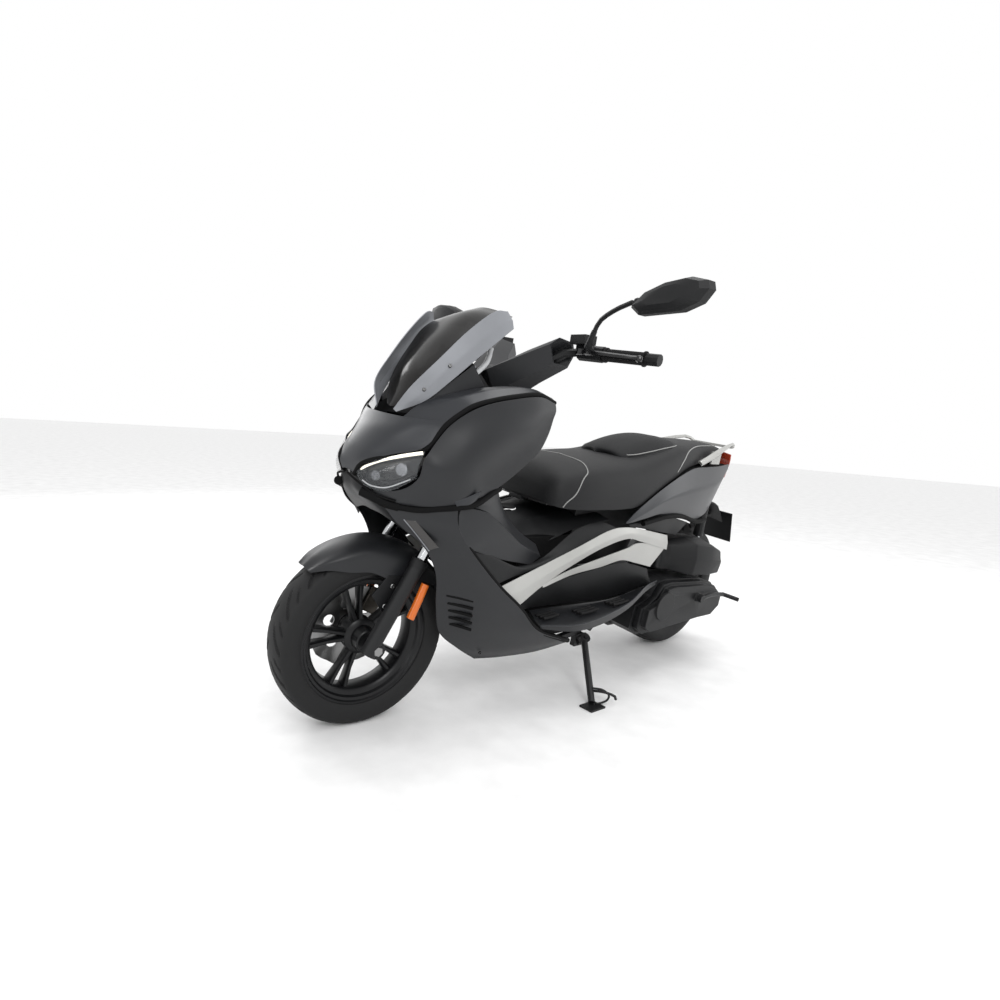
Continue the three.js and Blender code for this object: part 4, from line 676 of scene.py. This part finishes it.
# Each group of three rubber strips on the footboard: its middle and its length.
BOARD_RUBBERS = [((-500, 214, 330), 60), ((-640, 238, 338), 76), ((-780, 244, 350), 70)]
RUBBER_PITCH = 14
for s in ("left", "right"):
    m = (lambda pts: pts) if s == "left" else flip
    k = 1 if s == "left" else -1
    # Painted shade: the vent's fins are near-black, for the shade in the slots between them.
    for i, (x, y, z) in enumerate(VENT_TOP):
        reach = 74 - 4 * i
        fin = [(x, y + 2, z), (x - reach / 2, y + 20, z - 5), (x - reach, y + 34, z - 12)]
        tube(f"vent fin {s} {i}", m(fin), 4.2, "chassis", "black_plastic", PAINTED_SHADE, sides=8, steps=12)
    lamp = [[[1, 143, 616], [-19, 160, 618]], [[-28, 160, 584], [-46, 176, 588]],
            [[-62, 176, 545], [-78, 190, 556]]]
    rows = lamp if k == 1 else flip_rows(lamp)
    skin(f"indicator {s}", [grid(rows, 6, 20)], (-100, 40 * k, 580), "chassis", "clear_lens", SMOKED,
         thick=3)
    edge = m([(3, 141, 617), (-28, 157, 583), (-62, 174, 543)])
    tube(f"indicator edge {s}", edge, 1.6, "chassis", "clear_lens", PALE, sides=8)
    accent = [[[-92, 205, 676], [-100, 209, 664]], [[-128, 214, 690], [-132, 213, 668]],
              [[-160, 222, 705], [-158, 210, 678]]]
    rows = accent if k == 1 else flip_rows(accent)
    skin(f"side accent {s}", [grid(rows, 6, 20)], (-140, 100 * k, 690), "chassis", "silver_trim",
         GUNMETAL, thick=3)
    for j, (at, out) in enumerate(PANEL_SCREWS):
        bolt(f"panel screw {s} {j}", m([at])[0], m([out])[0], 4.5, "chassis", GLOSS)
    for j, ((x, y, z), long) in enumerate(BOARD_RUBBERS):
        for i in range(3):
            pad = [(x + long / 2, y - 14 + RUBBER_PITCH * i, z - 5 + 2 * i),
                   (x, y - 12 + RUBBER_PITCH * i, z - 3 + 2 * i),
                   (x - long / 2, y - 12 + RUBBER_PITCH * i, z + 1 + 2 * i)]
            tube(f"board rubber {s} {j} {i}", m(pad), 4.6, "chassis", "grip_rubber", GRIP, sides=10,
                 steps=10)
    bar = m([(-166, 110, 968), (-214, 104, 1010), (-228, 98, 1048)])
    tube(f"screen stay {s}", bar, 7, "chassis", "silver_trim", WHITE, sides=12)
    # Painted shade: a near-black tube along the recess under the tail panel's crease, where shade
    # falls.
    low = m([(-908, 196, 584), (-1061, 186, 600), (-1174, 176, 592), (-1289, 162, 566),
             (-1380, 146, 566)])
    tube(f"tail recess {s}", low, 8, "chassis", "black_plastic", PAINTED_SHADE, sides=10)


COIL_STEPS = 20


def spring(name, low, high, radius, wire, turns, body, slot, material, where=BIKE):
    """A coil of wire between two points."""
    a, b = Vector(low), Vector(high)
    q = Vector((0, 0, 1)).rotation_difference((b - a).normalized()).to_matrix()
    count = turns * COIL_STEPS
    pts = []
    for i in range(count + 1):
        w = 2 * math.pi * i / COIL_STEPS
        around = Vector((radius * math.cos(w), radius * math.sin(w), 0))
        pts.append(tuple(a + (b - a) * i / count + q @ around))
    tube(name, pts, wire, body, slot, material, where=where, sides=8, steps=count, straight=True)

# ------------------------------------------------------------------ steering parts
softened("steering_stem", "steering", CHROME, 1)
softened("handlebar", "steering", BLACK, 1.2)
softened("handlebar_cover", "steering", CHARCOAL, 3)
softened("switch_box_left", "steering", BLACK, 1.5)
softened("switch_box_right", "steering", BLACK, 1.5)
softened("brake_lever_left", "left_lever", GLOSS, 1.5)
softened("brake_lever_right", "right_lever", GLOSS, 1.5)
softened("mirror_left", "left_mirror", BLACK, 3)
softened("mirror_right", "right_mirror", BLACK, 3)


def ribbed_grip(name, body, node, side):
    """A rubber grip with fine ribs and a flange at each end."""
    a, b = Vector((-526, 209 * side, 1064)), Vector((-548, 331 * side, 1057))
    d = b - a
    lengths = np.linspace(0.11, 1.02, 74)
    verts, faces = [], []
    q = Vector((0, 0, 1)).rotation_difference(d.normalized()).to_matrix()
    sides = 40
    for i, t in enumerate(lengths):
        flange = 19.5 if t < 0.15 or t > 0.985 else 15.6 + 0.9 * (i % 2)
        for k in range(sides):
            w = 2 * math.pi * k / sides
            p = a + d * float(t) + q @ Vector((flange * math.cos(w), flange * math.sin(w), 0))
            verts.append(tuple(p))
    for i in range(len(lengths) - 1):
        for k in range(sides):
            u, v = i * sides + k, i * sides + (k + 1) % sides
            faces.append((u, v, v + sides, u + sides))
    faces.append(tuple(range(sides))[::-1])
    faces.append(tuple(range((len(lengths) - 1) * sides, len(lengths) * sides)))
    link(name, verts, faces, STEERED, GRIP, body, (node,), 40)


ribbed_grip("grip left", "steering", "grip_left", 1)
ribbed_grip("grip right", "throttle", "throttle_grip", -1)

# ------------------------------------------------------------------ fork and fender
# Stations round the wheel: degrees from the top, radius of the crown, half width, drop of the sides.
FENDER = [(41, 272, 38, 10), (32, 276, 58, 32), (20, 278, 72, 62), (6, 280, 76, 78),
          (-8, 281, 76, 96), (-22, 281, 74, 92), (-36, 280, 68, 70), (-52, 278, 60, 40)]
fender = []
for deg, r, half, drop in FENDER:
    t = math.radians(deg)
    at = lambda rad, y: [rad * math.sin(t), y, 250 + rad * math.cos(t)]
    fender.append([at(r - drop, -half), at(r - 0.35 * drop, -half * 0.97), at(r - 6, -half * 0.6),
                   at(r, 0), at(r - 6, half * 0.6), at(r - 0.35 * drop, half * 0.97),
                   at(r - drop, half)])
skin("fender", [grid(fender, 40, 60)], FRONT, "front_fork", "charcoal_panel", CHARCOAL,
     ("front_fender",), where=STEERED)
softened("front_caliper", "front_fork", BRONZE, 3)
for s in (1, -1):
    tube(f"fork leg {s}", [on_steering(216, 44, 100 * s), on_steering(462, 41, 100 * s)], 20.8,
         "front_fork", "black_alloy", CAST, where=STEERED, sides=32, straight=True,
         replaces=("fork_lowers",) if s == 1 else ())
    tube(f"fork collar {s}", [on_steering(446, 41, 100 * s), on_steering(466, 41, 100 * s)], 23.4,
         "front_fork", "black_alloy", BLACK, where=STEERED, sides=32, straight=True)
    tube(f"axle lug {s}", [(0, 84 * s, 250), (0, 113 * s, 250)], 24, "front_fork", "black_alloy", CAST,
         where=STEERED, sides=40, straight=True)
    tube(f"axle nut {s}", [(0, 112 * s, 250), (0, 121 * s, 250)], 13, "front_fork", "steel", STEEL,
         where=STEERED, sides=6, straight=True)
plate("fender tab", [(-84, 352), (-30, 330), (12, 388), (-30, 440), (-78, 436)], 71.5, 77, "front_fork",
      BLACK, where=STEERED)
for p in [(-46, 78, 410), (-28, 78, 356)]:
    bolt(f"fender screw {p[0]}", p, (0, 1, 0), 7, "front_fork", STEEL, where=STEERED)
for s in (1, -1):
    tube(f"reflector bar {s}", [(-121, 118 * s, 424), (-103, 119 * s, 377), (-86, 118 * s, 332)], 11,
         "front_fork", "red_lens", AMBER, where=STEERED, sides=20)


# ------------------------------------------------------------------ wheels
def tyre(name, centre, radius, width, where, body, node):
    """A crowned tyre with curved grooves cut into its tread and a closed inner face."""
    half, bead, depth = width / 2, 174, radius - 184
    outer = [[bead, 42.1], [184.7, 43], [185.6, 0.86 * half], [184 + 0.36 * depth, 0.98 * half],
             [radius - 0.22 * depth, 0.9 * half], [radius - 0.05 * depth, 0.52 * half], [radius, 0]]
    both = outer + [[r, -y] for r, y in outer[-2::-1]]
    prof = np.vstack([curve_row([[r, 0, y] for r, y in both[1:-1]], 84)])[:, [0, 2]]
    count = 800
    verts, faces = [], []
    inner = [(radius - 30, -0.7 * half), (radius - 30, 0.7 * half)]
    n = len(prof) + 2
    for k in range(count):
        a = 2 * math.pi * k / count
        for r, y in prof:
            u = abs(y) / half
            lane = a * 16 / (2 * math.pi) + (1 if y > 0 else -1) * 0.25 - 0.95 * u ** 0.8
            gap = abs(lane % 1 - 0.5)
            lane2 = lane + 0.5
            gap2 = abs(lane2 % 1 - 0.5)
            deep = 0
            if r > 184 + 0.42 * depth:
                if gap < 0.075 and 0.10 < u < 0.88:
                    deep = 3.6 * min(1, (0.88 - u) * 9, (u - 0.10) * 9)
                elif gap2 < 0.045 and 0.42 < u < 0.90:
                    deep = 3.0 * min(1, (0.90 - u) * 9, (u - 0.42) * 9)
            verts.append((centre[0] + (r - deep) * math.sin(a), centre[1] + y * (1 - 0.012 * deep),
                          centre[2] + (r - deep) * math.cos(a)))
        for r, y in inner:
            verts.append((centre[0] + r * math.sin(a), centre[1] + y, centre[2] + r * math.cos(a)))
    for k in range(count):
        for i in range(n):
            a, b = k * n + i, k * n + (i + 1) % n
            c, d = ((k + 1) % count) * n + (i + 1) % n, ((k + 1) % count) * n + i
            faces.append((a, b, c, d))
    link(name, verts, faces, where, TYRE, body, (node,), 30)


tyre("front tyre", FRONT, 250, 118, STEERED, "front_wheel", "front_tyre")
tyre("rear tyre", REAR, 257, 132, BIKE, "rear_wheel", "rear_tyre")


def spoke(name, centre, angle, root, tip, where, body):
    """An eight-sided spoke, thinnest halfway."""
    u = Vector((math.cos(angle), 0, math.sin(angle)))
    v = Vector((-math.sin(angle), 0, math.cos(angle)))
    verts, faces = [], []
    for t, wide, deep in [(root, 9, 19), (0.5 * (root + tip), 6.4, 15), (tip, 9, 20)]:
        p = Vector(centre) + u * t
        for a, b in [(-1, -0.55), (-0.55, -1), (0.55, -1), (1, -0.55), (1, 0.55), (0.55, 1), (-0.55, 1),
                     (-1, 0.55)]:
            verts.append(tuple(p + v * wide * a + Vector((0, deep * b, 0))))
    for i in range(2):
        for k in range(8):
            a, b = i * 8 + k, i * 8 + (k + 1) % 8
            faces.append((a, b, b + 8, a + 8))
    faces += [tuple(range(8))[::-1], tuple(range(16, 24))]
    bevel(link(name, verts, faces, where, RIM, body, (), 35), 1.5, 25)


# Section of the rim's barrel: radius and distance along the axle, from the left edge round and back.
BARREL = [(184, 47.5), (186.5, 45.5), (186, 43.4), (174, 42.4), (160, 26), (157, 24),
          (157, -24), (160, -26), (174, -42.4), (186, -43.4), (186.5, -45.5), (184, -47.5),
          (178, -47.5), (175, -43), (168, -41), (164, -34), (158, -31), (151, -26), (149, -22),
          (149, 22), (151, 26), (158, 31), (164, 34), (168, 41), (175, 43), (178, 47.5)]
SPOKE_PAIRS = 5
FIRST_PAIR = 0.07
PAIR_SPREAD = 0.16


def rim(name, centre, hub, where, body, node):
    """Barrel, hub of the given half length, and the paired spokes between them."""
    turned(f"{name} barrel", BARREL, centre, body, RIM, where, 160, (node,))
    turned(f"{name} hub", [(10, hub), (10, -hub), (30, -hub), (33, -hub + 3), (35, -26), (46, -22),
           (50, -18), (50, 18), (46, 22), (35, 26), (33, hub - 3), (30, hub)], centre, body,
           RIM, where, 96)
    for pair in range(SPOKE_PAIRS):
        for side in (-1, 1):
            t = FIRST_PAIR + pair / SPOKE_PAIRS * 2 * math.pi + side * PAIR_SPREAD
            spoke(f"{name} spoke {pair} {side}", centre, t, 40, 153, where, body)


rim("front rim", FRONT, 60, STEERED, "front_wheel", "front_rim")
rim("rear rim", REAR, 50, BIKE, "rear_wheel", "rear_rim")
softened("front_disc", "front_wheel", STEEL, 0.5)

# ------------------------------------------------------------------ swing unit
softened("engine_unit", "swing_unit", CAST, 3)
softened("cvt_cover", "swing_unit", BLACK, 4)
softened("air_box", "swing_unit", BLACK, 5)
softened("muffler", "swing_unit", CAST, 3)
softened("kick_lever", "kick_starter", CAST, 2)
for s in ("left", "right"):
    softened(f"shock_body_{s}", f"{s}_shock", CAST, 1)
    softened(f"shock_rod_{s}", f"{s}_shock_rod", CHROME, 1)
softened("side_stand", "stand", CAST, 1.5)
tube("stand tang", [(-714, 270, 78), (-738, 290, 78), (-756, 304, 64), (-750, 306, 48), (-724, 302, 42),
     (-704, 300, 43)], 3.2, "stand", "frame_paint", CAST, sides=10)
spring("stand spring", (-772, 178, 150), (-732, 236, 92), 7.5, 1.5, 15, "stand", "steel", CAST)


# ------------------------------------------------------------------ seat
# The seat's section: share of the half width, share of the height.
SECTION = [(1, 0.34), (0.93, 0.66), (0.78, 0.85), (0.5, 0.955)]


def seat_surface(rings):
    """Rings of x, half width, lower edge and crown, drawn out over the seat."""
    ring = []
    for x, w, low, top in rings:
        h = top - low
        left = [[x, w, low], [x, w + 1, low + 0.16 * h]] + [[x, a * w, low + b * h] for a, b in SECTION]
        ring.append(left + [[x, 0, top]] + flip(left)[::-1])
    return grid(ring, 60, 150)


seat_grid = seat_surface(SEAT)


def closed_loft(name, g, body, material, replaces=()):
    h, w = g.shape[:2]
    verts = [tuple(p) for p in g.reshape(-1, 3)]
    faces = [(i * w + j, (i + 1) * w + j, (i + 1) * w + j + 1, i * w + j + 1) for i in range(h - 1)
             for j in range(w - 1)]
    faces += [(i * w, i * w + w - 1, (i + 1) * w + w - 1, (i + 1) * w) for i in range(h - 1)]
    faces += [tuple(range(w)), tuple(range((h - 1) * w, h * w))[::-1]]
    return link(name, verts, faces, BIKE, material, body, replaces, 60)


closed_loft("seat cushion", seat_grid, "seat", SEAT_SKIN, ("seat_cushion",))
softened("seat_base", "seat", BLACK, 1.5)


def seat_line(stations):
    """Points on the seat's skin: (x, share of the way from the lower edge over the top)."""
    out = []
    xs = seat_grid[:, 0, 0]
    for x, share in stations:
        i = int(np.argmin(abs(xs - x)))
        row = seat_grid[i]
        p = row[int(round(share * (len(row) - 1)))]
        c = row.mean(0)
        d = (p - c) / np.linalg.norm(p - c)
        out.append(p + d * 0.6)
    return out


for s in (1, -1):
    side = (lambda v: v) if s == 1 else (lambda v: 1 - v)
    nose = [(-545, 0.02), (-556, 0.10), (-580, 0.18), (-612, 0.26), (-640, 0.32), (-662, 0.38),
            (-672, 0.44), (-676, 0.5)]
    tube(f"front piping {s}", seat_line([(x, side(v)) for x, v in nose]), 1.9, "seat", "seat_cover",
         PIPING, sides=8, steps=80)
    rear = [(-1104, 0.10), (-1150, 0.2), (-1210, 0.27), (-1300, 0.31), (-1400, 0.335), (-1500, 0.36)]
    tube(f"rear piping {s}", seat_line([(x, side(v)) for x, v in rear]), 1.9, "seat", "seat_cover",
         PIPING, sides=8, steps=80)
# Rings of the lumbar pad: x, half width, foot, height.
PAD_RINGS = [(-872, 30, 779, 4), (-880, 84, 780, 20), (-920, 104, 782, 36), (-1000, 112, 794, 46),
             (-1080, 110, 808, 44), (-1150, 100, 818, 34), (-1192, 84, 826, 20), (-1204, 40, 830, 6)]
PAD_SHARES = (1, 0.88, 0.62, 0.3, 0, -0.3, -0.62, -0.88, -1)
PAD_SWEEP = 22
PAD_TUCK = 6
PAD = []
for x, half, z, h in PAD_RINGS:
    PAD.append([[x + PAD_SWEEP * (1 - abs(c)), half * c,
                 z + h * (1 - abs(c) ** 3.2) - (PAD_TUCK if abs(c) == 1 else 0)] for c in PAD_SHARES])
closed_loft("lumbar pad", grid(PAD, 40, 60), "seat", PAD_SKIN)
ring = [(x, half * 0.985, z + h * 0.28) for x, half, z, h in
        [(-884, 70, 780, 20), (-920, 102, 782, 36), (-1000, 111, 794, 46), (-1080, 109, 808, 44),
         (-1150, 99, 818, 34), (-1190, 78, 826, 20)]]
tube("pad piping", ring + [(-1206, 0, 838)] + flip(ring)[::-1], 1.8, "seat", "seat_cover", PIPING,
     sides=8, steps=120)

# ------------------------------------------------------------------ stage
floor = bpy.data.objects.new("floor", bpy.data.meshes.new("floor"))
bpy.context.scene.collection.objects.link(floor)
floor.data.from_pydata([(-30, -30, 0), (30, -30, 0), (30, 30, 0), (-30, 30, 0)], [], [(0, 1, 2, 3)])
floor.data.materials.append(mat("floor", (0.86, 0.86, 0.86), 0.6))
floor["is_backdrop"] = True


def area(name, at, aim, size, power, color=(1, 1, 1)):
    data = bpy.data.lights.new(name, "AREA")
    data.shape = "RECTANGLE"
    data.size, data.size_y = size
    data.energy = power
    data.color = color
    o = bpy.data.objects.new(name, data)
    o.location = at
    o.rotation_mode = "QUATERNION"
    o.rotation_quaternion = (Vector(at) - Vector(aim)).to_track_quat("Z", "Y")
    bpy.context.scene.collection.objects.link(o)


area("key", (2.2, 3.6, 3.4), (0, 0, 0.6), (1.6, 1.2), 70)
area("top", (-0.6, 0.4, 4.2), (0, 0, 0.6), (3.0, 2.0), 55)
area("front strip", (4.2, 0.6, 1.6), (0.2, 0, 0.7), (0.6, 2.4), 22)
area("back strip", (-3.8, 2.0, 1.7), (-0.4, 0, 0.6), (0.6, 2.4), 20)
area("far side", (0.5, -4.0, 2.6), (0, 0, 0.6), (2.0, 1.6), 40)
world = bpy.data.worlds.new("studio")
bpy.context.scene.world = world
world.use_nodes = True
world.node_tree.nodes["Background"].inputs["Color"].default_value = (1, 1, 1, 1)
world.node_tree.nodes["Background"].inputs["Strength"].default_value = 1.0
bpy.context.scene.view_settings.view_transform = "Standard"

camera = bpy.data.cameras.new("camera")
eye = bpy.data.objects.new("camera", camera)
bpy.context.scene.collection.objects.link(eye)
bpy.context.scene.camera = eye
camera.lens = 21.24
camera.sensor_width = 36
camera.shift_x = 0.1
yaw, pitch, roll = math.radians(34.9), math.radians(7.2), math.radians(3.8)
ahead = Vector((-math.sin(yaw) * math.cos(pitch), -math.cos(yaw) * math.cos(pitch), -math.sin(pitch)))
right = ahead.cross(Vector((0, 0, 1))).normalized()
up = right.cross(ahead)
right2 = right * math.cos(roll) + up * math.sin(roll)
up2 = up * math.cos(roll) - right * math.sin(roll)
turn = Matrix((right2, up2, -ahead)).transposed().to_4x4()
eye.matrix_world = Matrix.Translation(ORIGIN + Vector((0.8183, 1.3572, 0.8212))) @ turn

low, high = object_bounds()
